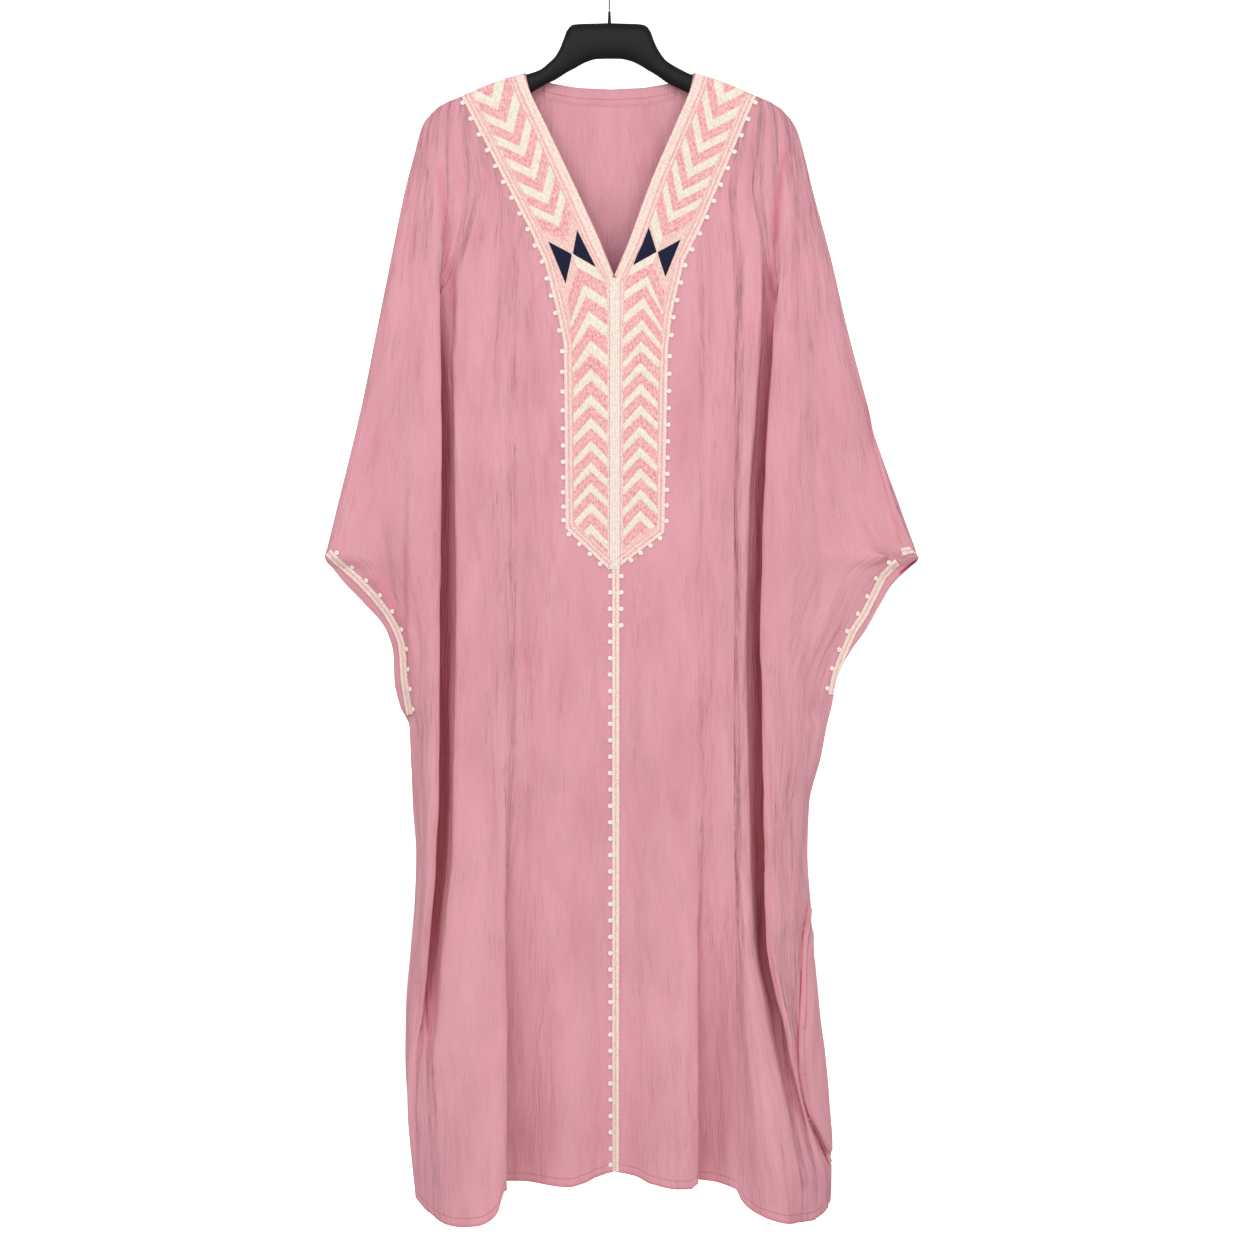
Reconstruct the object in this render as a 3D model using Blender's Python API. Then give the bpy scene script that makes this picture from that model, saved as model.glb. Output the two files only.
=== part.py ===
"""A batwing abaya of crinkled crepe, hung front facing on a plastic hanger with a steel hook.

The origin is the top of the hook's inside, where a rail holds it. The tables are in millimetres,
with x to the right from the garment's centre line, which is CENTRE_LINE_X to the right of the
hook, y away from the viewer and z up. The garment's front faces -Y. Each cloth piece is a
closed wall made from sections taken at different heights: a section is a smooth curve through
named points, such as the edge, the return and the floor of each fold.
"""
import math

import bpy
import numpy as np
from mathutils import Vector
from mathutils.bvhtree import BVHTree
from mathutils.geometry import delaunay_2d_cdt

MM = 0.001
CENTRE_LINE_X = 1.9
WALL = 1.2
SEAM_GAP = 0.3
LIFT = 0.55
BAND_WALL = 1.1
STITCH_RISE = 0.6

# The cut corners of the top edge: the shoulder points over the hanger's ends and the neck points.
SHOULDER_LEFT = (-222.0, -175.0)
SHOULDER_RIGHT = (216.0, -175.0)
NECK_LEFT = (-103.0, -118.8)
NECK_RIGHT = (99.5, -118.8)
YOKE_LINE = -259.0
ARM_DEPTH = 9.5
ARM_ROUND = 12.0
CORNER_STEP = 2.8
CORNER_WAY = 1.6
FREE_NECK_DEPTH = 12.5
FREE_NECK_REACH = 10.0
FOLD_OPENS = 12.0
LEAST_MITRE = 0.62

# The shoulder line over the hanger's arms, from the left shoulder point to the left neck point.
SHOULDER_LEFT_LINE = ((-222, -175.0), (-209, -161.0), (-196, -153.5), (-178, -146.5), (-161, -139.3),
                      (-144, -132.0), (-125, -125.0), (-103, -118.8))
SHOULDER_RIGHT_LINE = ((216, -175.0), (203, -161.0), (191, -153.5), (174, -146.5), (157, -139.3),
                       (140, -132.0), (121, -125.0), (99.5, -118.8))
# The back neck is a shallow scoop between the neck points.
BACK_NECK_LINE = ((-103, -118.8), (-94, -121.8), (-86, -125.6), (-67, -130.0), (-40, -134.5), (0, -136.5),
                  (40, -134.5), (66, -130.0), (83, -125.6), (90.5, -121.8), (99.5, -118.8))
NECK_COLUMNS = ("z", "left", "right")
NECK_EDGES = (
    (-118.8, -103.0, 99.5), (-141, -97.5, 94.5), (-186, -76.0, 75.3), (-205, -67.0, 67.0),
    (-245, -48.0, 49.6), (-264, -39.4, 42.0), (-322, -13.1, 21.5), (-345, -4.0, 12.5), (-365, 3.6, 3.6),
)

# Outline from the front. seam_in and back_in are how far inside the right edge the right-hand seam
# ends the front and begins the back, seam_y its depth there, part half the gap between front and
# back at the edge, open 1 where that gap is a sleeve's mouth.
OUTLINE_COLUMNS = ("z", "left", "right", "seam_in", "back_in", "seam_y", "part", "open")
OUTLINE = (
    (-175, -222, 216, 0, 0, 0, 0.15, 0),
    (-187, -228, 223, 0, 0, 0, 0.15, 0),
    (-217, -236, 232, 0, 0, 0, 0.15, 0),
    (-259, -247, 242, 0, 0, 0, 0.15, 0),
    (-337, -263, 263, 0, 0, 0, 0.15, 0),
    (-427, -281, 284, 0, 0, 0, 0.15, 0),
    (-517, -299, 308, 0, 0, 0, 0.4, 0),
    (-577, -313, 325, 6, 6, -5, 0.4, 0),
    (-637, -328, 346, 10, 10, -8, 0.15, 0),
    (-690, -341, 366, 7, 7, -5, 0.4, 0),
    (-701, -344, 370, 0, 0, 0, 0.4, 0),
    (-714, -333, 357, 3, 0, 0, 3.0, 1),
    (-728, -322, 342, 2, 0, 0, 6.0, 1),
    (-757, -294, 322, 0, 0, 0, 9.0, 1),
    (-787, -269, 305, 0, 0, 0, 11.0, 1),
    (-817, -260, 284, 0, 0, 0, 12.0, 1),
    (-847, -259, 270, 0, 0, 0, 11.0, 1),
    (-880, -252, 264, 0, 0, 0, 7.0, 1),
    (-903, -242, 259, 0, 0, 0, 0.15, 0),
    (-940, -240, 252, 0, 0, 0, 0.15, 0),
    (-997, -238, 238, 0, 0, 0, 0.15, 0),
    (-1057, -234, 236, 0, 0, 0, 0.15, 0),
    (-1117, -236, 240, 0, 0, 0, 0.5, 0),
    (-1177, -241, 245, 11, 11, -18, 0.6, 0),
    (-1237, -246, 250, 18, 18, -30, 0.3, 0),
    (-1297, -247, 256, 27, 27, -42, 0.15, 0),
    (-1357, -244, 260, 24, 24, -42, 0.15, 0),
    (-1398, -240, 264, 11, 11, -24, 0.15, 0),
    (-1430, -236, 265, 0, 0, 0, 0.15, 0),
    (-1490, -231, 264, 0, 0, 0, 0.15, 0),
)

# Fold at the left wing: the wing's layer lies in front, its edge facing the centre. lap is how far
# the cloth runs back under the edge; below zero the fold is open. shoulder is where the centre
# panel comes forward again beside the dark recess.
WING_COLUMNS = ("z", "edge_x", "lap", "edge_y", "deep_y", "shoulder_x", "shoulder_y", "belly_y")
LEFT_WING = (
    (-259, -203, -34, -15, -15, -155, -15, -11),
    (-337, -204, -8, -25, -14, -172, -20, -17),
    (-397, -204, 12, -32, -10, -183, -25, -21),
    (-487, -203, 30, -42, -7, -186, -31, -27),
    (-607, -202, 42, -49, -7, -186, -36, -32),
    (-703, -202, 46, -52, -7, -186, -38, -34),
    (-799, -202, 36, -54, -7, -186, -40, -35),
    (-871, -203, 28, -54, -7, -187, -41, -35),
    (-955, -204, 20, -54, -7, -188, -42, -34),
    (-1051, -206, 17, -52, -8, -190, -44, -32),
    (-1128, -212, 12, -50, -14, -196, -49, -30),
    (-1204, -218, 9, -47, -22, -200, -54, -27),
    (-1243, -222, 4, -45, -28, -203, -57, -25),
    (-1290, -230, -9, -39, -35, -210, -62, -21),
    (-1351, -233, -12, -33, -38, -206, -66, -18),
    (-1451, -226, -12, -28, -45, -200, -74, -14),
    (-1490, -222, -12, -28, -46, -198, -76, -14),
)
RIGHT_WING = (
    (-259, 204, -26, -15, -15, 168, -15, -11),
    (-337, 200, -6, -24, -13, 178, -20, -17),
    (-397, 195, 10, -31, -10, 178, -25, -21),
    (-487, 190, 26, -39, -7, 173, -30, -27),
    (-607, 183, 36, -45, -7, 166, -34, -31),
    (-703, 180, 42, -48, -7, 162, -36, -33),
    (-799, 177.5, 44, -50, -7, 160, -37, -34),
    (-871, 179, 42, -51, -7, 161, -37, -35),
    (-955, 180.5, 36, -51, -7, 163, -38, -34),
    (-1051, 182, 30, -51, -7, 165, -39, -33),
    (-1153, 185, 24, -53, -9, 168, -44, -34),
    (-1254, 203, 9, -58, -20, 186, -57, -40),
    (-1304, 214, 4, -60, -28, 196, -62, -46),
    (-1380, 234, -4, -54, -38, 212, -67, -38),
    (-1430, 250, -12, -40, -46, 220, -70, -24),
    (-1451, 252, -12, -32, -46, 222, -70, -16),
    (-1490, 252, -12, -26, -46, 222, -70, -14),
)
# Fold of the left lobe, open above z -1060, deep at the hem, and the soft crest beside it.
LOBE_COLUMNS = ("z", "crest_x", "crest_y", "edge_x", "lap", "edge_y", "deep_y", "floor_x", "floor_y",
                "next_x", "next_y", "centre_y")
LEFT_LOBE = (
    (-259, -143, -15, -122, -16, -14.5, -14.5, -90, -14, -66, -14, -14),
    (-362, -150, -23, -124, -16, -22, -22, -90, -22, -52, -22, -22),
    (-511, -156, -32, -126, -16, -31, -30, -90, -30, -50, -30, -30),
    (-703, -158, -39, -127, -16, -38, -37, -90, -36, -50, -36, -36),
    (-871, -158, -42, -127, -16, -40, -38, -92, -37, -50, -37, -37),
    (-991, -158, -44, -126, -14, -42, -37, -94, -36, -50, -36, -36),
    (-1063, -160, -49, -125, -8, -47, -36, -97, -35, -50, -36, -34),
    (-1147, -165, -57, -125, 0, -57, -33, -101, -32, -50, -36, -31),
    (-1243, -172, -68, -125, 8, -68, -30, -105, -28, -50, -36, -26),
    (-1303, -176, -76, -125, 13, -76, -28, -106, -26, -50, -38, -23),
    (-1380, -178, -84, -125, 17, -82, -25, -108, -23, -50, -42, -20),
    (-1490, -178, -90, -124, 20, -85, -22, -108, -20, -50, -45, -16),
)
# The narrower fold at the right of the centre, and the trough between it and the right lobe.
RIGHT_LOBE = (
    (-259, 72, -14, 97, -12, -14, -14, 122, -14, 140, -14, -14),
    (-362, 52, -22, 100, -12, -22, -22, 124, -22, 146, -22, -22),
    (-511, 52, -30, 102, -12, -30, -30, 126, -30, 147, -30, -30),
    (-703, 52, -36, 102, -12, -37, -37, 126, -36, 146, -36, -36),
    (-871, 54, -37, 102, -12, -37, -36, 126, -36, 146, -36, -37),
    (-1051, 56, -37, 103, -10, -36, -34, 124, -33, 146, -36, -34),
    (-1147, 62, -38, 103, -7, -39, -31, 122, -30, 147, -40, -31),
    (-1243, 68, -41, 103, -2, -43, -27, 121, -25, 148, -44, -26),
    (-1303, 72, -44, 103, 3, -47, -23, 120, -20, 148, -46, -23),
    (-1380, 75, -47, 103, 6, -50, -20, 120, -16, 148, -46, -20),
    (-1490, 78, -49, 103, 8, -51, -18, 121, -14, 148, -44, -16),
)
CREST_COLUMNS = ("z", "x", "y")
RIGHT_CREST = (
    (-259, 154, -15), (-362, 160, -23), (-511, 158, -31), (-703, 154, -36), (-1051, 155, -39),
    (-1147, 158, -48), (-1243, 170, -63), (-1303, 178, -72), (-1380, 192, -82), (-1430, 204, -88),
    (-1490, 212, -90),
)
# The front's hem: place and z. The place counts the section's named points from the left, and may
# lie between two of them.
HEM_LEFT = (
    (0, -1450), (1, -1456), (3, -1465), (5, -1474), (7, -1480), (10, -1486), (10.5, -1484.5),
    (10.75, -1480), (11, -1469), (11.5, -1456), (12, -1446), (14, -1445), (15, -1448), (15.3, -1445),
    (15.6, -1439), (16, -1434),
)
HEM_RIGHT = (
    (0, -1434), (0.33, -1437), (0.6, -1444.5), (1, -1449.5), (2, -1449), (3, -1444), (4, -1443.5),
    (5, -1446), (6, -1450), (6.1, -1460), (6.25, -1470), (6.5, -1477.5), (7, -1482.5), (9, -1485.5),
    (11, -1486), (13, -1483), (14, -1479.5), (15, -1475), (16, -1468), (17, -1462),
)

# The back hangs in two Z folds under the hanger's ends and three soft waves between them.
BACK_WING_COLUMNS = ("z", "edge_x", "lap", "edge_y", "deep_y", "shoulder_x", "shoulder_y", "belly_y")
BACK_RIGHT = (
    (-259, 190, -22, 14, 14, 150, 14, 11),
    (-397, 180, 4, 30, 13, 156, 24, 20),
    (-607, 172, 28, 44, 8, 152, 34, 30),
    (-799, 168, 34, 50, 8, 148, 38, 33),
    (-955, 168, 30, 52, 9, 148, 40, 33),
    (-1051, 170, 24, 54, 12, 150, 42, 32),
    (-1204, 176, 16, 58, 20, 155, 50, 30),
    (-1351, 184, 8, 62, 26, 162, 56, 26),
    (-1440, 190, 5, 66, 30, 166, 58, 22),
)
BACK_LEFT = (
    (-259, -196, -22, 14, 14, -152, 14, 11),
    (-397, -186, 4, 30, 13, -162, 24, 20),
    (-607, -180, 30, 42, 8, -163, 34, 29),
    (-799, -178, 28, 48, 8, -161, 38, 32),
    (-955, -180, 22, 50, 8, -163, 40, 31),
    (-1051, -184, 16, 52, 10, -167, 42, 30),
    (-1204, -194, 9, 54, 18, -174, 48, 27),
    (-1351, -204, 4, 55, 26, -182, 52, 24),
    (-1440, -206, 2, 56, 30, -185, 54, 20),
)
BACK_WAVE_COLUMNS = ("z", "x1", "y1", "x2", "y2", "x3", "y3", "x4", "y4", "x5", "y5", "x6", "y6",
                     "x7", "y7")
BACK_WAVES = (
    (-259, 111.6, 14, 101.6, 14, 48, 14, -12, 14, -72, 14, -103.9, 14, -113.9, 14),
    (-397, 100, 24, 84, 24, 42, 24, -18, 24, -76, 24, -102, 24, -122, 24),
    (-607, 96, 34, 72, 34, 40, 33, -20, 35, -80, 33, -102, 33.5, -126, 33),
    (-799, 95, 38, 68, 37, 40, 36, -20, 39, -80, 36, -103, 37, -128, 38),
    (-1051, 94, 44, 67, 39.5, 40, 35, -21, 46, -80, 35, -104, 38, -130, 42),
    (-1204, 94, 52, 67, 43, 40, 33, -22, 54, -80, 34, -105, 41, -132, 48),
    (-1440, 95, 64, 67, 47, 40, 30, -22, 62, -80, 32, -106, 44, -134, 56),
)
BACK_HEM = (-1431, 5.0, 0.035)

# Heights of the sections and how the rows close in on the shoulder line and on the hem.
TOP_ROWS = (0.0, 0.028, 0.065, 0.13, 0.25, 0.45, 0.7, 1.0)
FRONT_SECTIONS = (-300, -337, -365, -420, -487, -560, -637, -701, -714, -735, -765, -800, -850,
                  -903, -965, -1050, -1130, -1210, -1250, -1290, -1350, -1400)
FRONT_SPLIT_ROWS = 2
HEM_ROWS = (0.5, 1.0)
HEM_LEVEL = -1460
BACK_SECTIONS = (-337, -378, -420, -487, -560, -637, -701, -714, -757, -800, -850, -903, -965, -1050,
                 -1130, -1210, -1250, -1290, -1350, -1400)
LEFT_STEPS = (1, 2, 2, 1, 1, 1, 1, 1, 1, 1, 4, 1, 1, 1, 1, 3)
RIGHT_STEPS = (3, 1, 1, 1, 1, 1, 4, 1, 1, 1, 1, 1, 1, 1, 2, 1, 1)
FINE_STEPS = 12
BACK_STEPS = (1, 1, 2, 2, 1, 1, 1, 1, 1, 1, 1, 1, 1, 2, 2, 1, 1, 1, 1, 1, 1, 1, 1, 1, 2, 2, 1)


def clear_scene():
    for item in list(bpy.data.objects):
        bpy.data.objects.remove(item)


def material(name, colour, roughness, metallic=0.0):
    made = bpy.data.materials.new(name)
    made.use_nodes = True
    shader = made.node_tree.nodes["Principled BSDF"]
    shader.inputs["Base Color"].default_value = (*colour, 1.0)
    shader.inputs["Roughness"].default_value = roughness
    shader.inputs["Metallic"].default_value = metallic
    return made


def smooth_value(heights, values, at):
    """A curve through the table's values that never swings past them."""
    at = min(max(at, heights[0]), heights[-1])
    gap = np.diff(heights)
    slope = np.diff(values) / gap
    tangent = np.zeros(len(values))
    tangent[0] = slope[0]
    tangent[-1] = slope[-1]
    for k in range(1, len(values) - 1):
        if slope[k - 1] * slope[k] > 0:
            before = 2 * gap[k] + gap[k - 1]
            after = gap[k] + 2 * gap[k - 1]
            tangent[k] = (before + after) / (before / slope[k - 1] + after / slope[k])
    k = min(max(int(np.searchsorted(heights, at)) - 1, 0), len(gap) - 1)
    t = (at - heights[k]) / gap[k]
    start = (1 + 2 * t) * (1 - t) ** 2 * values[k] + t * (1 - t) ** 2 * gap[k] * tangent[k]
    end = t * t * (3 - 2 * t) * values[k + 1] + t * t * (t - 1) * gap[k] * tangent[k + 1]
    return start + end


def row_at(columns, table, z):
    """The table's row at any height, as a dictionary of its named columns."""
    rows = np.array(sorted(table), dtype=float)
    return {name: smooth_value(rows[:, 0], rows[:, k], z) for k, name in enumerate(columns) if k}


def line_at(line, x):
    """Height of a line given by points from one side to the other."""
    points = sorted(line)
    return float(np.interp(x, [p[0] for p in points], [p[1] for p in points]))


def mix(a, b, t):
    return a + (b - a) * t


def smooth_curve(points, steps):
    """Points on a smooth curve through the given points, with steps[k] stretches in span k."""
    p = np.array(points, dtype=float)
    chord = np.maximum(np.linalg.norm(np.diff(p, axis=0), axis=1), 0.5)
    slope = np.diff(p, axis=0) / chord[:, None]
    tangent = np.empty_like(p)
    tangent[0] = slope[0]
    tangent[-1] = slope[-1]
    for k in range(1, len(p) - 1):
        tangent[k] = (slope[k - 1] * chord[k] + slope[k] * chord[k - 1]) / (chord[k - 1] + chord[k])
    made = [p[0]]
    for k, count in enumerate(steps):
        for n in range(1, count + 1):
            t = n / count
            start = (1 + 2 * t) * (1 - t) ** 2 * p[k] + t * (1 - t) ** 2 * chord[k] * tangent[k]
            end = t * t * (3 - 2 * t) * p[k + 1] + t * t * (t - 1) * chord[k] * tangent[k + 1]
            made.append(start + end)
    return np.array(made)


def hem_heights(named, table, steps):
    """The hem's height at each point of a section, on a smooth curve over the length along it."""
    fine = smooth_curve(named, [FINE_STEPS] * (len(named) - 1))
    length = np.concatenate([[0.0], np.cumsum(np.linalg.norm(np.diff(fine, axis=0), axis=1))])
    count = np.arange(len(length))
    stops = [float(np.interp(place * FINE_STEPS, count, length)) for place, _ in table]
    heights = [z for _, z in table]
    made = []
    for k, stretches in enumerate(steps):
        for n in range(stretches):
            at = np.interp((k + n / stretches) * FINE_STEPS, count, length)
            made.append(smooth_value(stops, heights, float(at)))
    made.append(heights[-1])
    return np.array(made)


def wing_points(wing, side, away, roll=7.0):
    """Named points of a Z fold, from the layer nearest the viewer to the centre panel's shoulder.

    side is -1 for the left wing and 1 for the right one, away is -1 at the front and 1 at the back,
    roll is how far from its edge the outer layer starts to turn.
    """
    folded = min(max((wing["lap"] + FOLD_OPENS) / (2 * FOLD_OPENS), 0.0), 1.0)
    back_x = wing["edge_x"] + side * wing["lap"]
    turn_x = back_x - side * 3
    floor_x = side * min(side * wing["edge_x"] + 2, side * turn_x - 4)
    shut = (
        (wing["edge_x"] + side * roll, wing["edge_y"]),
        (wing["edge_x"], wing["edge_y"] - away * 4),
        (mix(wing["edge_x"], back_x, 0.55), mix(wing["edge_y"], wing["deep_y"], 0.55)),
        (back_x, wing["deep_y"] + away * 5),
        (turn_x, wing["deep_y"]),
        (floor_x, wing["deep_y"] + away * 0.5),
        (wing["shoulder_x"], wing["shoulder_y"]),
    )
    made = []
    for k, (x, y) in enumerate(shut):
        share = k / (len(shut) - 1)
        made.append((mix(mix(shut[0][0], shut[-1][0], share), x, folded),
                     mix(mix(shut[0][1], shut[-1][1], share), y, folded)))
    return tuple(made)


def seam_direction(edge):
    """Direction across the right-hand seam: straight back at the outline, sideways on the front."""
    turn = min(edge["seam_in"] / 6, 1.0) * (1 - edge["open"])
    angle = math.radians(90 - 68 * turn)
    return np.array((math.cos(angle), math.sin(angle)))


def front_left(z):
    edge = row_at(OUTLINE_COLUMNS, OUTLINE, z)
    wing = row_at(WING_COLUMNS, LEFT_WING, z)
    lobe = row_at(LOBE_COLUMNS, LEFT_LOBE, z)
    neck = row_at(NECK_COLUMNS, NECK_EDGES, z)
    x = edge["left"] + WALL / 2
    fold = wing_points(wing, -1, -1)
    belly_x = mix(x, fold[0][0], 0.5)
    folded = min(max((lobe["lap"] + 10) / 20, 0.0), 1.0)
    return (
        (x, -edge["part"]),
        (x + 0.6 + 5 * edge["open"], -edge["part"] - 4 + 3 * edge["open"]),
        (belly_x, wing["belly_y"]),
        *fold,
        (lobe["crest_x"], lobe["crest_y"]),
        (lobe["edge_x"] - 7, lobe["edge_y"]),
        (lobe["edge_x"], lobe["edge_y"] + 3 * folded),
        (lobe["edge_x"] - lobe["lap"], lobe["deep_y"]),
        (lobe["floor_x"], lobe["floor_y"]),
        (lobe["next_x"], lobe["next_y"]),
        (neck["left"], lobe["centre_y"]),
    )


def front_right(z):
    edge = row_at(OUTLINE_COLUMNS, OUTLINE, z)
    wing = row_at(WING_COLUMNS, RIGHT_WING, z)
    lobe = row_at(LOBE_COLUMNS, RIGHT_LOBE, z)
    crest = row_at(CREST_COLUMNS, RIGHT_CREST, z)
    neck = row_at(NECK_COLUMNS, NECK_EDGES, z)
    across = seam_direction(edge)
    seam = np.array((edge["right"] - edge["seam_in"] - WALL / 2, edge["seam_y"] * (1 - edge["open"])))
    end = seam - across * edge["part"]
    rim = end - across * 4 - np.array((1 + 5 * edge["open"], -3 * edge["open"]))
    fold = wing_points(wing, 1, -1, min(7.0, (rim[0] - wing["edge_x"]) * 0.4))[::-1]
    belly_x = mix(fold[-1][0], rim[0], 0.5)
    wide = min(max((rim[0] - fold[-1][0]) / 40, 0.0), 1.0)
    belly_y = mix(mix(fold[-1][1], rim[1], 0.5), wing["belly_y"], wide)
    folded = min(max((lobe["lap"] + 10) / 20, 0.0), 1.0)
    return (
        (neck["right"], lobe["centre_y"]),
        (lobe["crest_x"], lobe["crest_y"]),
        (lobe["edge_x"] - 7, lobe["edge_y"]),
        (lobe["edge_x"], lobe["edge_y"] + 3 * folded),
        (lobe["edge_x"] - lobe["lap"], lobe["deep_y"]),
        (lobe["floor_x"], lobe["floor_y"]),
        (lobe["next_x"], lobe["next_y"]),
        (crest["x"], crest["y"]),
        *fold,
        (belly_x, belly_y),
        tuple(rim),
        tuple(end),
    )


def back_section(z):
    edge = row_at(OUTLINE_COLUMNS, OUTLINE, z)
    right = row_at(BACK_WING_COLUMNS, BACK_RIGHT, z)
    left = row_at(BACK_WING_COLUMNS, BACK_LEFT, z)
    wave = row_at(BACK_WAVE_COLUMNS, BACK_WAVES, z)
    across = seam_direction(edge)
    turn = min(edge["back_in"] / 6, 1.0) * (1 - edge["open"])
    outer = edge["right"] - WALL / 2
    seam = np.array((outer - edge["back_in"], edge["seam_y"] * min(edge["back_in"], 1.0)))
    start = seam + across * edge["part"]
    closed_rim = start + np.array((-0.6 - 5 * edge["open"], 4 - 3 * edge["open"]))
    rim = mix(closed_rim, start + across * 4, turn)
    shut_bend = np.array((outer - 3, edge["part"] + 9))
    open_bend = np.array((outer - 15, edge["part"] + 4.5))
    bend = mix(mix(shut_bend, open_bend, edge["open"]), np.array((outer, 5.0)), turn)
    right_fold = wing_points(right, 1, 1)
    left_fold = wing_points(left, -1, 1)[::-1]
    left_x = edge["left"] + WALL / 2
    return (
        tuple(start),
        tuple(rim),
        tuple(bend),
        (mix(outer, right_fold[0][0], 0.5), right["belly_y"]),
        *right_fold,
        *((wave[f"x{k}"], wave[f"y{k}"]) for k in range(1, 8)),
        *left_fold,
        (mix(left_x, left_fold[-1][0], 0.5), left["belly_y"]),
        (left_x + 0.6 + 5 * edge["open"], edge["part"] + 4 - 3 * edge["open"]),
        (left_x, edge["part"]),
    )


def rounded(distance, reach):
    """How far a surface has come out of a rounded edge, from 0 at the edge to 1."""
    t = min(max(distance / reach, 0.0), 1.0)
    return math.sqrt(1 - (1 - t) ** 2)


def top_rows(section, start, end, top_line, edge_x, neck_x, free_neck=0.0):
    """Rows from the shoulder line down to the first level section.

    start and end are the top line's corners, edge_x and neck_x give the row's ends at a height.
    """
    made = []
    span = section[-1, 0] - section[0, 0]
    for share in TOP_ROWS[:-1]:
        z_start = mix(start[1], YOKE_LINE, share)
        z_end = mix(end[1], YOKE_LINE, share)
        row = []
        for k, (x_low, y_low) in enumerate(section):
            f = (x_low - section[0, 0]) / span
            if k == 1:
                f = mix(CORNER_STEP / abs(span), f, share)
            if free_neck and k == len(section) - 2:
                f = mix(1 - CORNER_STEP / abs(span), f, share)
            x_top = mix(start[0], end[0], f)
            x = mix(edge_x(z_start), neck_x(z_end), f)
            z_top = line_at(top_line, x_top)
            z = mix(z_top, YOKE_LINE, share)
            depth = abs(y_low)
            side = min(f, 1 - f) if free_neck else f
            arm = ARM_DEPTH * rounded(side, 0.08)
            full = mix(arm, depth, share)
            y = SEAM_GAP / 2 + (full - SEAM_GAP / 2) * rounded(z_top - z, ARM_ROUND)
            inside = min(x_top - NECK_LEFT[0], NECK_RIGHT[0] - x_top)
            if free_neck and inside > 0:
                neck_y = mix(free_neck * rounded(inside, FREE_NECK_REACH), depth, share)
                y = max(y, neck_y)
            row.append((x, math.copysign(y, y_low), z))
        made.append(row)
    made.append([(x, y, YOKE_LINE) for x, y in section])
    return np.array(made)


def level_row(points, z):
    return np.array([(x, y, z) for x, y in points])


def front_rows(section_at, steps, hem, top):
    """All rows of one half of the front, from the shoulder line to the hem."""
    rows = [np.array(row) for row in top]
    for z in FRONT_SECTIONS:
        rows.append(level_row(smooth_curve(section_at(z), steps), z))
    last = FRONT_SECTIONS[-1]
    hem_line = hem_heights(section_at(HEM_LEVEL), hem, steps)
    for share in HEM_ROWS:
        heights = mix(last, hem_line, share)
        row = []
        for k, z in enumerate(heights):
            x, y = smooth_curve(section_at(z), steps)[k]
            row.append((x, y, z))
        rows.append(np.array(row))
    return rows


def front_grid():
    """Vertices and quads of the front's middle surface, split by the V neck above its point."""
    left_top = smooth_curve(front_left(YOKE_LINE), LEFT_STEPS)
    right_top = smooth_curve(front_right(YOKE_LINE), RIGHT_STEPS)[::-1]
    outline = lambda z: row_at(OUTLINE_COLUMNS, OUTLINE, z)
    neck = lambda z: row_at(NECK_COLUMNS, NECK_EDGES, z)
    left_rows = top_rows(left_top, SHOULDER_LEFT, NECK_LEFT, SHOULDER_LEFT_LINE,
                         lambda z: outline(z)["left"] + WALL / 2, lambda z: neck(z)["left"])
    right_rows = top_rows(right_top, SHOULDER_RIGHT, NECK_RIGHT, SHOULDER_RIGHT_LINE,
                          lambda z: outline(z)["right"] - WALL / 2, lambda z: neck(z)["right"])
    left = front_rows(front_left, LEFT_STEPS, HEM_LEFT, left_rows)
    right = front_rows(front_right, RIGHT_STEPS, HEM_RIGHT, right_rows[:, ::-1])
    split = len(TOP_ROWS) + FRONT_SPLIT_ROWS
    points = []
    index_left = []
    index_right = []
    for r, row in enumerate(left):
        index_left.append(list(range(len(points), len(points) + len(row))))
        points.extend(row)
        if r < split:
            start = []
            rest = right[r]
        else:
            start = [index_left[r][-1]]
            rest = right[r][1:]
        index_right.append(start + list(range(len(points), len(points) + len(rest))))
        points.extend(rest)
    quads = []
    for block in (index_left, index_right):
        for upper, lower in zip(block, block[1:]):
            for k in range(len(upper) - 1):
                quads.append((upper[k], lower[k], lower[k + 1], upper[k + 1]))
    seams = {}
    for r, row in enumerate(left):
        z = float(row[0][2])
        edge = row_at(OUTLINE_COLUMNS, OUTLINE, z)
        if not edge["open"]:
            seams[index_left[r][0]] = Vector((0, 1, 0))
            across = seam_direction(row_at(OUTLINE_COLUMNS, OUTLINE, float(right[r][-1][2])))
            seams[index_right[r][-1]] = Vector((across[0], across[1], 0))
    for k in index_left[0] + index_right[0]:
        seams[k] = Vector((0, 1, 0))
    corners = {index_left[0][0]: Vector((-CORNER_WAY, 0, 1)),
               index_right[0][-1]: Vector((CORNER_WAY, 0, 1))}
    return points, quads, seams, corners


def rounded_ends(count):
    """0 at both ends of a row and 1 from its second point on."""
    return [0.0] + [1.0] * (count - 2) + [0.0]


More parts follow.
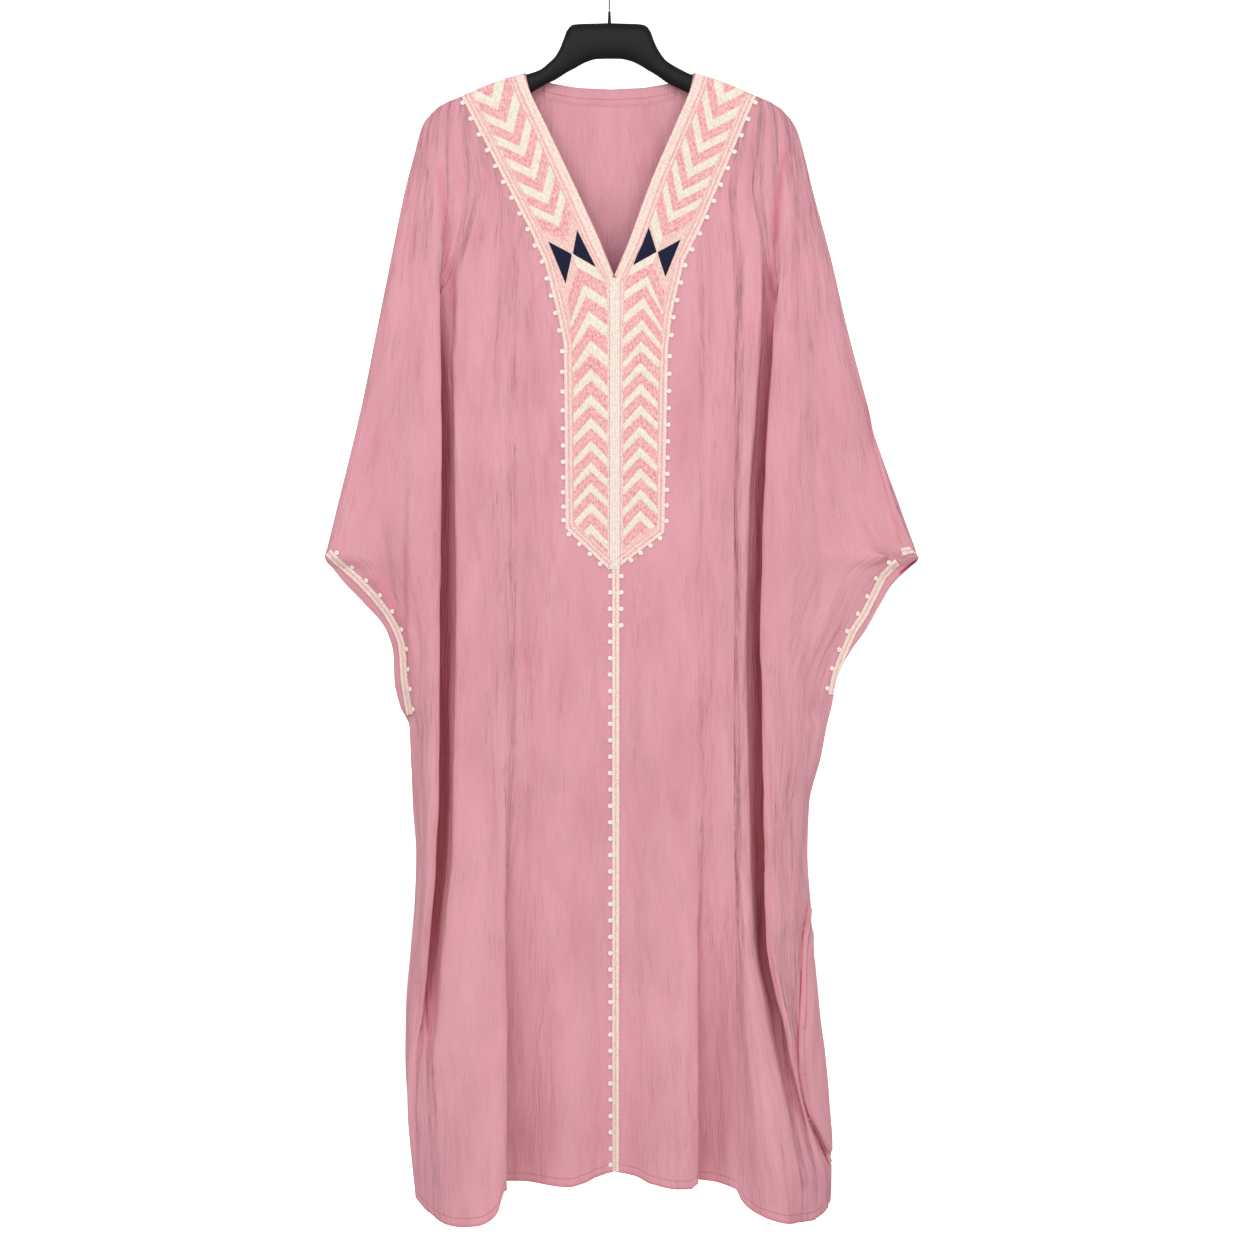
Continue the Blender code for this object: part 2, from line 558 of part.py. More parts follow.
def back_grid():
    section = smooth_curve(back_section(YOKE_LINE), BACK_STEPS)
    top_line = SHOULDER_LEFT_LINE[:-1] + BACK_NECK_LINE + SHOULDER_RIGHT_LINE[-2::-1]
    outline = lambda z: row_at(OUTLINE_COLUMNS, OUTLINE, z)
    rows = list(top_rows(section, SHOULDER_RIGHT, SHOULDER_LEFT, top_line,
                         lambda z: outline(z)["right"] - WALL / 2,
                         lambda z: outline(z)["left"] + WALL / 2, free_neck=FREE_NECK_DEPTH))
    for z in BACK_SECTIONS:
        rows.append(level_row(smooth_curve(back_section(z), BACK_STEPS), z))
    level, wave, pitch = BACK_HEM
    edges = rounded_ends(len(section))
    flat = smooth_curve(back_section(level), BACK_STEPS)
    rows.append(np.array([(x, y, level - wave * math.sin(x * pitch) * share)
                          for (x, y), share in zip(flat, edges)]))
    points = []
    index = []
    for row in rows:
        index.append(list(range(len(points), len(points) + len(row))))
        points.extend(row)
    quads = []
    for upper, lower in zip(index, index[1:]):
        for k in range(len(upper) - 1):
            quads.append((upper[k], lower[k], lower[k + 1], upper[k + 1]))
    seams = {}
    for r, row in enumerate(rows):
        edge = row_at(OUTLINE_COLUMNS, OUTLINE, float(row[0][2]))
        if not edge["open"]:
            across = seam_direction(edge)
            seams[index[r][0]] = Vector((across[0], across[1], 0))
            seams[index[r][-1]] = Vector((0, 1, 0))
    for k, p in zip(index[0], rows[0]):
        if not NECK_LEFT[0] + 1 < p[0] < NECK_RIGHT[0] - 1:
            seams[k] = Vector((0, 1, 0))
    corners = {index[0][0]: Vector((CORNER_WAY, 0, 1)), index[0][-1]: Vector((-CORNER_WAY, 0, 1))}
    return points, quads, seams, corners


def triangles_of(quads):
    made = []
    for a, b, c, d in quads:
        made.append((a, b, c))
        made.append((a, c, d))
    return made


def vertex_normals(points, triangles, seams, corners):
    """Mean normal at each vertex, longer where the cloth turns sharply, to keep the wall's thickness.

    At a seam it has no part across the seam, so the wall ends square.
    """
    normals = [Vector((0, 0, 0)) for _ in points]
    around = [[] for _ in points]
    vectors = [Vector(p) for p in points]
    for face in triangles:
        a, b, c = (vectors[k] for k in face)
        facing = (b - a).cross(c - a).normalized()
        for n, k in enumerate(face):
            here = vectors[k]
            one = vectors[face[(n + 1) % 3]] - here
            two = vectors[face[(n + 2) % 3]] - here
            normals[k] += facing * one.angle(two)
            around[k].append(facing)
    made = []
    for k, normal in enumerate(normals):
        if k in corners:
            made.append(corners[k].normalized())
        elif k in seams:
            normal -= seams[k] * normal.dot(seams[k])
            made.append(normal.normalized())
        else:
            normal.normalize()
            least = min(normal.dot(facing) for facing in around[k])
            made.append(normal / max(least, LEAST_MITRE))
    return made


def solid(name, vertices, faces, look):
    """An object from vertices in millimetres."""
    mesh = bpy.data.meshes.new(name)
    mesh.from_pydata([((x + CENTRE_LINE_X) * MM, y * MM, z * MM) for x, y, z in vertices], [], faces)
    mesh.update()
    made = bpy.data.objects.new(name, mesh)
    mesh.materials.append(look)
    bpy.context.scene.collection.objects.link(made)
    mesh.shade_smooth()
    mesh.set_sharp_from_angle(angle=math.radians(50))
    return made


def wall(name, points, triangles, normals, thickness, look):
    """A closed wall on both sides of a middle surface, with a rim along its free edges."""
    count = len(points)
    outer = [Vector(p) + n * thickness / 2 for p, n in zip(points, normals)]
    inner = [Vector(p) - n * thickness / 2 for p, n in zip(points, normals)]
    faces = list(triangles)
    faces += [(c + count, b + count, a + count) for a, b, c in triangles]
    edges = {}
    for a, b, c in triangles:
        for pair in ((a, b), (b, c), (c, a)):
            edges[pair] = True
    for a, b in list(edges):
        if (b, a) not in edges:
            faces.append((b, a, a + count))
            faces.append((b, a + count, b + count))
    return solid(name, outer + inner, faces, look), outer, inner


class Cloth:
    """One side of a finished wall, on which bands are laid by looking straight at it."""

    def __init__(self, points, triangles, normals, away):
        self.points = [Vector(p) for p in points]
        self.triangles = triangles
        self.normals = normals
        self.away = away
        self.tree = BVHTree.FromPolygons(self.points, triangles)

    def at(self, x, z):
        """Point and smooth normal of the cloth seen at x, z."""
        start = Vector((x, self.away * 500, z))
        hit, _, face, _ = self.tree.ray_cast(start, Vector((0, -self.away, 0)))
        if hit is None:
            hit, _, face, _ = self.tree.find_nearest(Vector((x, self.away * 8, z)))
        a, b, c = (self.points[k] for k in self.triangles[face])
        whole = (b - a).cross(c - a)
        share_a = (b - hit).cross(c - hit).dot(whole) / whole.dot(whole)
        share_b = (c - hit).cross(a - hit).dot(whole) / whole.dot(whole)
        weights = (share_a, share_b, 1 - share_a - share_b)
        normal = Vector((0, 0, 0))
        for k, weight in zip(self.triangles[face], weights):
            normal += self.normals[k] * weight
        return hit, normal.normalized()

    def under(self, outline):
        """Places of the cloth's own visible vertices inside an outline."""
        made = []
        for p in self.points:
            if inside(outline, p.x, p.z) and distance_to(outline, p.x, p.z) > GUIDE_MARGIN:
                if (self.at(p.x, p.z)[0] - p).length < 1.0:
                    if all(math.dist((p.x, p.z), q) > GUIDE_APART for q in made):
                        made.append((p.x, p.z))
        return made


def settle(points, ways, faces, below_points, below_faces, clearance):
    """Moves points out along their ways till every face is clear of the surface below."""
    tree = BVHTree.FromPolygons(below_points, below_faces)
    for _ in range(SETTLE_ROUNDS):
        push = [0.0] * len(points)
        for face in faces:
            a, b, c = (points[k] for k in face)
            for i in range(SETTLE_STEPS + 1):
                for j in range(SETTLE_STEPS + 1 - i):
                    u = i / SETTLE_STEPS
                    v = j / SETTLE_STEPS
                    place = a * u + b * v + c * (1 - u - v)
                    near, facing, _, _ = tree.find_nearest(place)
                    height = math.copysign((place - near).length, (place - near).dot(facing))
                    for k in face:
                        push[k] = max(push[k], clearance - height)
        if max(push) < 0.01:
            break
        for k, distance in enumerate(push):
            points[k] = points[k] + ways[k] * distance


def inside(outline, x, z):
    hits = 0
    for (x0, z0), (x1, z1) in zip(outline, outline[1:] + outline[:1]):
        if (z0 > z) != (z1 > z) and x < x0 + (z - z0) * (x1 - x0) / (z1 - z0):
            hits += 1
    return hits % 2 == 1


def fill(outline, extra_points, extra_edges):
    """Triangles over an outline, through extra points and edges. Gives places, faces and sources."""
    coords = [Vector(p) for p in list(outline) + list(extra_points)]
    count = len(outline)
    edges = [(k, (k + 1) % count) for k in range(count)]
    edges += [(a + count, b + count) for a, b in extra_edges]
    found = delaunay_2d_cdt(coords, edges, [], 1, 0.001)
    places, _, faces, sources = found[0], found[1], found[2], found[3]
    kept = []
    for face in faces:
        a, b, c = (places[k] for k in face)
        middle = (a + b + c) / 3
        if inside(outline, middle.x, middle.y):
            turn = (b - a).cross(c - a)
            kept.append(tuple(face) if turn > 0 else tuple(reversed(face)))
    return places, kept, sources


def band(name, cloth, outline, look, guides=(), ridges=(), lift=LIFT, thickness=BAND_WALL):
    """A flat piece laid on the cloth: its outline in x, z and ridges raised on its face.

    It bends with the cloth under it, and also at its guide points. A ridge is a closed foot
    outline and a crown outline inside it.
    """
    below = cloth.under(outline)
    extra = list(guides)
    for place in below:
        if all(distance_to(foot, *place) > GUIDE_MARGIN and not inside(foot, *place) for foot, _ in ridges):
            extra.append(place)
    extra_edges = []
    rise = [0.0] * (len(outline) + len(extra))
    for foot, crown in ridges:
        for ring, height in ((foot, 0.0), (crown, STITCH_RISE)):
            start = len(extra)
            extra.extend(ring)
            rise.extend([height] * len(ring))
            extra_edges += [(start + k, start + (k + 1) % len(ring)) for k in range(len(ring))]
    top_places, top_faces, sources = fill(outline, extra, extra_edges)
    low_places, low_faces, low_sources = fill(outline, list(guides) + below, [])
    facing = -cloth.away
    if facing < 0:
        top_faces = [tuple(reversed(f)) for f in top_faces]
        low_faces = [tuple(reversed(f)) for f in low_faces]
    low_seen = [cloth.at(place.x, place.y) for place in low_places]
    low = [point + normal * lift for point, normal in low_seen]
    settle(low, [normal for _, normal in low_seen], low_faces, cloth.points, cloth.triangles,
           lift * CLEAR_SHARE)
    top_seen = [cloth.at(place.x, place.y) for place in top_places]
    heights = [max([rise[s] for s in sources[k]], default=0.0) for k in range(len(top_places))]
    top = [seen[0] + seen[1] * (lift + thickness + h) for seen, h in zip(top_seen, heights)]
    settle(top, [normal for _, normal in top_seen], top_faces, low, low_faces,
           thickness * CLEAR_SHARE)
    start = len(top)
    vertices = top + low
    top_of = {s: k for k in range(len(top)) for s in sources[k]}
    low_of = {s: k + start for k in range(len(low)) for s in low_sources[k]}
    faces = list(top_faces)
    faces += [tuple(k + start for k in reversed(f)) for f in low_faces]
    count = len(outline)
    turn = sum(a[0] * b[1] - a[1] * b[0] for a, b in zip(outline, outline[1:] + outline[:1]))
    for k in range(count):
        a, b = k, (k + 1) % count
        if (turn > 0) != (facing > 0):
            a, b = b, a
        faces.append((top_of[b], top_of[a], low_of[a]))
        faces.append((top_of[b], low_of[a], low_of[b]))
    used = sorted({k for f in faces for k in f})
    renamed = {k: n for n, k in enumerate(used)}
    return solid(name, [vertices[k] for k in used],
                 [tuple(renamed[k] for k in f) for f in faces], look)


# Embroidered yoke: outlines of its two arms, which run down both sides of the placket.
YOKES = {
    "yoke_left": {
        "outer": ((-179, -148.8), (-97.8, -307.7), (-78.7, -350.8), (-63.1, -413.2), (-55.9, -447.9),
                  (-54.0, -666.8)),
        "tip": (-4.7, -713.5),
        "inner": ((-1.8, -716.0), (-1.8, -640), (-1.8, -560), (-1.8, -480), (-1.8, -410),
                  (-1.8, -354.0), (-13.9, -323.0), (-40.2, -264.0), (-67.8, -205.0), (-98.3, -141.0)),
        "top": ((-105.0, -122.6), (-125, -126.6), (-144, -133.6), (-161, -140.9)),
        "first_apex": (-134.6, -167.4),
        "last_apex": (-61.6, -308.6),
        "outer_arm": (-26.0, 12.0),
        "inner_arm": (8.0, 34.5),
        "column_x": (-24.3, -24.3),
        "column_z": (-383, -414, -446, -479, -510, -537, -564, -590, -614, -637, -662),
        "bow_ties": (((-74.9, -326.4), (-46.2, -342.0), (-53.6, -378.0)),
                     ((-40.3, -312.6), (-17.4, -358.2), (-45.0, -342.2))),
    },
    "yoke_right": {
        "outer": ((173.5, -148.4), (107.4, -306.6), (87.0, -348.5), (72.7, -410.8), (67.9, -453.8),
                  (63.4, -672.0)),
        "tip": (13.1, -709.9),
        "inner": ((11.0, -711.0), (11.0, -640), (11.0, -560), (11.0, -480), (11.0, -410),
                  (11.0, -352.0), (22.3, -322.0), (50.4, -245.0), (76.1, -186.0), (95.3, -141.0)),
        "top": ((101.5, -122.6), (121, -126.6), (140, -133.6), (157, -140.9)),
        "first_apex": (128.0, -162.7),
        "last_apex": (68.6, -303.9),
        "outer_arm": (25.0, 13.0),
        "inner_arm": (-7.0, 34.5),
        "column_x": (39.5, 32.5),
        "column_z": (-372, -398, -423, -448, -472, -496, -521, -545, -570, -594, -618, -645),
        "bow_ties": (((45.0, -309.0), (54.0, -339.4), (25.6, -356.0)),
                     ((83.2, -324.0), (64.4, -370.4), (55.2, -339.9))),
    },
}
UPPER_CHEVRONS = 6
COLUMN_ARM = (18.5, 20.5)
STRIPE_HALF = 3.0
RIDGE_EDGE = 0.8
PICOT_PITCH = 21.4
PICOT_WIDTH = 5.6
PICOT_REACH = 4.6
GUIDE_MARGIN = 1.6
GUIDE_APART = 4.0
SETTLE_ROUNDS = 12
SETTLE_STEPS = 6
CLEAR_SHARE = 0.6

PLACKET = (-1.1, 10.3, -369.0, -714.0)
BRAID = (1.6, 9.9, -717.0, -1433.5)
BAND_STEP = 24.0
BRAID_PICOT_PITCH = 19.5

CUFF_HALF = 4.2
CUFF_PICOT_PITCH = 24.0
CUFFS = {
    "left": ((-329.0, -706.0), (-315, -719.0), (-296.6, -735.7), (-277.8, -756.1), (-257.9, -783.6),
             (-251.9, -801.5), (-249.5, -823), (-248.3, -848), (-243.5, -872)),
    "right": ((342.2, -705.8), (325.4, -722.6), (316.0, -741.7), (303.8, -766.9), (288.5, -789.6),
              (275.0, -818.5), (266.6, -837.0), (259.5, -857), (256.5, -874)),
}
NECK_BAND_DEPTH = 21.0
NECK_BAND_ENDS = (-80.0, 77.0)

# Hanger, from left to right: x, top and bottom of its outline there, and half its thickness.
HANGER = (
    (-206.0, -172.0, -177.0, 2.0), (-204.0, -167.6, -182.0, 4.6), (-196.0, -157.4, -182.0, 6.2),
    (-178.0, -148.6, -176.5, 7.0), (-150.0, -136.8, -164.5, 7.4), (-125.0, -127.6, -154.0, 7.5),
    (-103.0, -121.2, -146.5, 7.5), (-96.0, -119.2, -143.0, 7.4), (-84.0, -114.6, -136.0, 7.6),
    (-76.0, -108.0, -131.5, 7.8), (-68.0, -100.6, -128.0, 8.0), (-62.0, -91.0, -124.5, 8.0),
    (-57.5, -80.0, -121.5, 8.0), (-53.5, -69.0, -119.0, 8.0), (-50.0, -64.0, -117.0, 8.0),
    (-45.0, -61.0, -114.5, 8.0), (-31.0, -60.0, -106.8, 8.0), (-17.0, -59.7, -102.6, 8.0),
    (-2.0, -59.3, -102.2, 8.0), (11.0, -59.7, -102.4, 8.0), (25.0, -60.0, -105.5, 8.0),
    (38.0, -61.0, -112.0, 8.0), (44.0, -64.0, -115.8, 8.0), (48.0, -70.0, -118.0, 8.0),
    (52.0, -81.5, -120.5, 8.0), (57.5, -92.5, -124.0, 8.0), (65.0, -103.0, -129.5, 8.0),
    (74.0, -109.5, -134.5, 7.8), (86.0, -116.0, -140.0, 7.5), (94.0, -120.0, -143.5, 7.4),
    (99.5, -121.6, -146.0, 7.5), (121.0, -127.6, -154.0, 7.5), (146.0, -136.8, -164.5, 7.4),
    (173.0, -148.4, -176.0, 7.0), (190.0, -156.6, -182.0, 6.2), (198.0, -166.6, -182.0, 4.6),
    (200.0, -171.0, -176.5, 2.0),
)
HANGER_SIDES = 12
HOOK_X = -1.9
COLLAR_RADII = (2.1, 1.5)
COLLAR_ENDS = (-59.0, -45.6)
HOOK_WIRE = 1.2
HOOK_INSIDE = 17.0
HOOK_START = -45.3
HOOK_OPEN_ANGLE = 205.0
WIRE_SIDES = 8


def along(points, pitch, first):
    """Places every pitch along a line of points, with the direction there."""
    made = []
    travelled = 0.0
    due = first
    for a, b in zip(points, points[1:]):
        length = math.dist(a, b)
        while due <= travelled + length:
            t = (due - travelled) / length
            direction = ((b[0] - a[0]) / length, (b[1] - a[1]) / length)
            made.append(((mix(a[0], b[0], t), mix(a[1], b[1], t)), direction))
            due += pitch
        travelled += length
    return made


def picot_edge(points, pitch, side, first=8.0):
    """The line with a small loop standing out every pitch. side 1 is to the left of the way along."""
    stops = [(0.0, points[0])]
    travelled = 0.0
    for a, b in zip(points, points[1:]):
        travelled += math.dist(a, b)
        stops.append((travelled, b))
    made = []
    loops = along(points, pitch, first)
    for n, (place, way) in enumerate(loops):
        at = first + n * pitch
        if at > travelled - PICOT_WIDTH:
            continue
        out = (-way[1] * side * PICOT_REACH, way[0] * side * PICOT_REACH)
        for share, reach in ((-0.5, 0.0), (-0.36, 1.0), (0.36, 1.0), (0.5, 0.0)):
            shift = share * PICOT_WIDTH
            x = place[0] + way[0] * shift + out[0] * reach
            z = place[1] + way[1] * shift + out[1] * reach
            made.append((at + shift, (x, z)))
    clear = [stop for stop in stops
             if all(abs(stop[0] - at) > 1.5 for at, _ in made)
             and not any(first + n * pitch - PICOT_WIDTH / 2 < stop[0] < first + n * pitch + PICOT_WIDTH / 2
                         for n in range(len(loops)))]
    return [p for _, p in sorted(clear + made)]


def chevron(apex, arm_a, arm_b):
    """Foot and crown of a V-shaped stripe, from its apex and the ways of its two arms."""
    rings = []
    for shrink in (0.0, RIDGE_EDGE):
        half = STRIPE_HALF - shrink
        ends = []
        for arm in (arm_a, arm_b):
            length = math.hypot(*arm)
            scale = (length - shrink) / length
            ends.append((apex[0] + arm[0] * scale, apex[1] + arm[1] * scale))
        first = np.array(apex) - np.array(ends[0])
        second = np.array(ends[1]) - np.array(apex)
        first /= np.linalg.norm(first)
        second /= np.linalg.norm(second)
        n1 = np.array((-first[1], first[0])) * half
        n2 = np.array((-second[1], second[0])) * half
        corner = (n1 + n2) / (1 + n1.dot(n2) / half ** 2)
        a, m, b = np.array(ends[0]), np.array(apex), np.array(ends[1])
        rings.append([tuple(a + n1), tuple(m + corner), tuple(b + n2), tuple(b - n2),
                      tuple(m - corner), tuple(a - n1)])
    return rings


def triangle_ridge(corners):
    middle = np.mean(np.array(corners), axis=0)
    return [[tuple(middle + (np.array(c) - middle) * scale) for c in corners]
            for scale in (0.97, 0.86)]


def distance_to(outline, x, z):
    p = np.array((x, z))
    nearest = 1e9
    for a, b in zip(outline, outline[1:] + outline[:1]):
        a, b = np.array(a), np.array(b)
        t = min(max((p - a).dot(b - a) / max((b - a).dot(b - a), 1e-9), 0.0), 1.0)
        nearest = min(nearest, np.linalg.norm(p - a - (b - a) * t))
    return nearest


def yoke(name, cloth, look):
    """One arm of the yoke, with its chevrons, its two dark triangles and the loops on its edge."""
    shape = YOKES[name]
    side = -1 if name.endswith("left") else 1
    outer = list(shape["outer"]) + [shape["tip"]]
    loops = picot_edge(outer, PICOT_PITCH, side)
    outline = loops + list(shape["inner"]) + list(shape["top"])
    plain = outer + list(shape["inner"]) + list(shape["top"])
    ridges = []
    for k in range(UPPER_CHEVRONS):
        t = k / (UPPER_CHEVRONS - 1)
        apex = (mix(shape["first_apex"][0], shape["last_apex"][0], t),
                mix(shape["first_apex"][1], shape["last_apex"][1], t))
        ridges.append((apex, shape["outer_arm"], shape["inner_arm"]))
    heights = shape["column_z"]
    for z in heights:
        t = (z - heights[0]) / (heights[-1] - heights[0])
        x = mix(shape["column_x"][0], shape["column_x"][1], t)
        ridges.append(((x, z), (-COLUMN_ARM[0], -COLUMN_ARM[1]), (COLUMN_ARM[0], -COLUMN_ARM[1])))
    made = []
    for apex, arm_a, arm_b in ridges:
        sizes = []
        for arm in (arm_a, arm_b):
            size = 1.0
            while size > 0.3:
                end = (apex[0] + arm[0] * size, apex[1] + arm[1] * size)
                if inside(plain, *end) and distance_to(plain, *end) > 8.0:
                    break
                size -= 0.08
            sizes.append(size)
        if min(sizes) > 0.3 and distance_to(plain, *apex) > 6:
            a = (arm_a[0] * sizes[0], arm_a[1] * sizes[0])
            b = (arm_b[0] * sizes[1], arm_b[1] * sizes[1])
            made.append(chevron(apex, a, b))
    made += [triangle_ridge(corners) for corners in shape["bow_ties"]]
    return band(name, cloth, outline, look, ridges=made)


def strip(left, right, top, bottom, step, picots=None):
    """Outline of an upright strip, with points every step, and loops on its left side if asked."""
    count = max(1, round((top - bottom) / step))
    heights = [mix(top, bottom, k / count) for k in range(count + 1)]
    down = [(left, z) for z in heights]
    if picots:
        down = picot_edge(down, picots, -1)
    return down + [(right, z) for z in reversed(heights)]


def cuff_trim(name, cloth, side, look):
    """Braid along a sleeve's edge, with loops on the side away from the edge."""
    line = [np.array(p) for p in CUFFS[side]]
    turn = 1 if side == "left" else -1
    rims = {1: [], -1: []}
    for k, place in enumerate(line):
        way = line[min(k + 1, len(line) - 1)] - line[max(k - 1, 0)]
        way = way / np.linalg.norm(way)
        across = np.array((-way[1], way[0])) * CUFF_HALF
        for hand in (1, -1):
            x, z = place + across * hand
            edge = row_at(OUTLINE_COLUMNS, OUTLINE, z)
            low = edge["left"] + 2.2
            high = edge["right"] - (edge["seam_in"] if cloth.away < 0 else 0) - 2.2
            rims[hand].append((float(min(max(x, low), high)), float(z)))
    inner = picot_edge(rims[turn], CUFF_PICOT_PITCH, turn)
    return band(name, cloth, inner + rims[-turn][::-1], look)


def rings_solid(name, rings, look):
    """A closed solid through rings of points, with flat ends."""
    count = len(rings[0])
    faces = []
    for r in range(len(rings) - 1):
        for k in range(count):
            n = (k + 1) % count
            a, b = r * count + k, r * count + n
            faces.append((a, b, b + count))
            faces.append((a, b + count, a + count))
    faces.append(tuple(reversed(range(count))))
    faces.append(tuple(range((len(rings) - 1) * count, len(rings) * count)))
    vertices = [p for ring in rings for p in ring]
    return solid(name, vertices, faces, look)


def hanger(look):
    """Moulded hanger: an oval section that follows the outline from end to end."""
    rings = []
    for x, top, bottom, half in HANGER:
        middle = (top + bottom) / 2
        height = (top - bottom) / 2
        ring = []
        for k in range(HANGER_SIDES):
            angle = 2 * math.pi * (k + 0.5) / HANGER_SIDES
            c, s = math.cos(angle), math.sin(angle)
            power = 0.8
            y = math.copysign(abs(c) ** power, c) * half
            z = middle + math.copysign(abs(s) ** power, s) * height
            ring.append((x, y, z))
        rings.append(ring)
    return rings_solid("hanger", rings, look)


def tube(name, path, radii, sides, look):
    """A round bar along a path in the plane x = HOOK_X."""
    rings = []
    for k, (y, z) in enumerate(path):
        y0, z0 = path[max(k - 1, 0)]
        y1, z1 = path[min(k + 1, len(path) - 1)]
        length = math.hypot(y1 - y0, z1 - z0)
        out = ((z1 - z0) / length, -(y1 - y0) / length)
        ring = []
        for n in range(sides):
            angle = 2 * math.pi * n / sides
            across = math.cos(angle) * radii[k]
            ring.append((HOOK_X - math.sin(angle) * radii[k], y + out[0] * across, z + out[1] * across))
        rings.append(ring)
    return rings_solid(name, rings, look)


def hook_path():
    """Up from the collar, out to the back and round over the top to the open mouth in front."""
    radius = HOOK_INSIDE + HOOK_WIRE
    centre = -HOOK_INSIDE
    join = math.radians(-42)
    end = np.array((math.cos(join) * radius, centre + math.sin(join) * radius))
    way = np.array((-math.sin(join), math.cos(join)))
    foot = HOOK_START + 1.5
    points = [np.array((0.0, foot)), np.array((0.0, foot + 4.0)), end - way * 6, end]
    path = [(0.0, HOOK_START)]
    for k in range(7):
        t = k / 7
        path.append(tuple((1 - t) ** 3 * points[0] + 3 * t * (1 - t) ** 2 * points[1]
                          + 3 * t * t * (1 - t) * points[2] + t ** 3 * points[3]))
    steps = 18
    for k in range(steps + 1):
        angle = mix(join, math.radians(HOOK_OPEN_ANGLE), k / steps)
        path.append((math.cos(angle) * radius, centre + math.sin(angle) * radius))
    return path


def build():
    clear_scene()
    crepe = material("crepe", (0.69, 0.32, 0.36), 0.72)
    stitched = material("embroidery", (0.86, 0.66, 0.60), 0.6)
    braid = material("braid", (0.86, 0.66, 0.60), 0.6)
    plastic = material("plastic", (0.012, 0.012, 0.013), 0.38)
    steel = material("steel", (0.6, 0.6, 0.6), 0.25, 1.0)

    points, quads, seams, corners = front_grid()
    faces = triangles_of(quads)
    normals = vertex_normals(points, faces, seams, corners)
    _, outer, _ = wall("front", points, faces, normals, WALL, crepe)
    front = Cloth(outer, faces, normals, -1)

    points, quads, seams, corners = back_grid()
    faces = triangles_of(quads)
    normals = vertex_normals(points, faces, seams, corners)
    _, outer, inner = wall("back", points, faces, normals, WALL, crepe)
    back = Cloth(outer, faces, normals, 1)
    lining = Cloth(inner, [tuple(reversed(f)) for f in faces], [-n for n in normals], -1)

    for name in YOKES:
        yoke(name, front, stitched)
    left, right, top, bottom = PLACKET
    band("placket", front, strip(left, right, top, bottom, BAND_STEP), stitched)
    left, right, top, bottom = BRAID
    band("centre_braid", front, strip(left, right, top, bottom, BAND_STEP, BRAID_PICOT_PITCH), braid)
    for side in CUFFS:
        cuff_trim("cuff_trim_front_" + side, front, side, braid)
        cuff_trim("cuff_trim_back_" + side, back, side, braid)

    places = [p for p in BACK_NECK_LINE if NECK_BAND_ENDS[0] < p[0] < NECK_BAND_ENDS[1]]
    ends = [(x, line_at(BACK_NECK_LINE, x)) for x in NECK_BAND_ENDS]
    line = [ends[0]] + places + [ends[1]]
    outline = [(x, z - 1.2) for x, z in line] + [(x, z - NECK_BAND_DEPTH) for x, z in line[::-1]]
    middle = [(x, z - NECK_BAND_DEPTH / 2) for x, z in line[1:-1]]
    band("neck_band", lining, outline, crepe, middle)

    hanger(plastic)
    low, high = COLLAR_ENDS
    tube("hook_collar", [(0.0, low), (0.0, high)], COLLAR_RADII, WIRE_SIDES, plastic)
    path = hook_path()
    tube("hook", path, [HOOK_WIRE] * len(path), WIRE_SIDES, steel)


build()
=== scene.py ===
"""Looks of the batwing abaya: camera, light, thin crepe shells, embroidery, braid and hanger.

Tables and lengths are in millimetres from the garment's centre line: x to the right, y away from
the viewer, z up from the top of the hook's inside. The centre line is CENTRE_LINE_X right of it.
"""
import math

import bpy
import numpy as np
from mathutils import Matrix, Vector
from mathutils.bvhtree import BVHTree
from mathutils.geometry import delaunay_2d_cdt


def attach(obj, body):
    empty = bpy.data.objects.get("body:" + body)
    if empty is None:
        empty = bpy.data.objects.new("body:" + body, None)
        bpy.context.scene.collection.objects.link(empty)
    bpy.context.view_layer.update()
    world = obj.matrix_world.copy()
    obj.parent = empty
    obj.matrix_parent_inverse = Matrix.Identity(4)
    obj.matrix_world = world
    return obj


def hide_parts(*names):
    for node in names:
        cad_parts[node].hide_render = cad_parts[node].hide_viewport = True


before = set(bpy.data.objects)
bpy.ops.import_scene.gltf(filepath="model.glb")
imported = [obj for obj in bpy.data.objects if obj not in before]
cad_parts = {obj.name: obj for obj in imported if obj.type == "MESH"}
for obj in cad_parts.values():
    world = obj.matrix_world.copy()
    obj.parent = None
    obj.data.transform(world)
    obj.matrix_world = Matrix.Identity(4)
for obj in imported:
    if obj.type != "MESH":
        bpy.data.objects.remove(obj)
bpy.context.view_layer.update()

# The camera looks straight on, from as far as the cloth's depth shows in the photograph.
CAMERA_PLACE = (0.0043, -3.6, -0.784)
FRAME_WIDTH = 1.505
SENSOR = 36.0
FRAME_CENTRE_X = 0.0211

camera_data = bpy.data.cameras.new("camera")
camera_data.sensor_width = SENSOR
camera_data.lens = SENSOR * -CAMERA_PLACE[1] / FRAME_WIDTH
camera_data.shift_x = (FRAME_CENTRE_X - CAMERA_PLACE[0]) / FRAME_WIDTH
camera = bpy.data.objects.new("camera", camera_data)
camera.location = CAMERA_PLACE
camera.rotation_euler = (math.radians(90), 0, 0)
bpy.context.scene.collection.objects.link(camera)
bpy.context.scene.camera = camera

MM = 0.001
CENTRE_LINE_X = 1.9
TOP_GAP = 0.15
SEED = 7

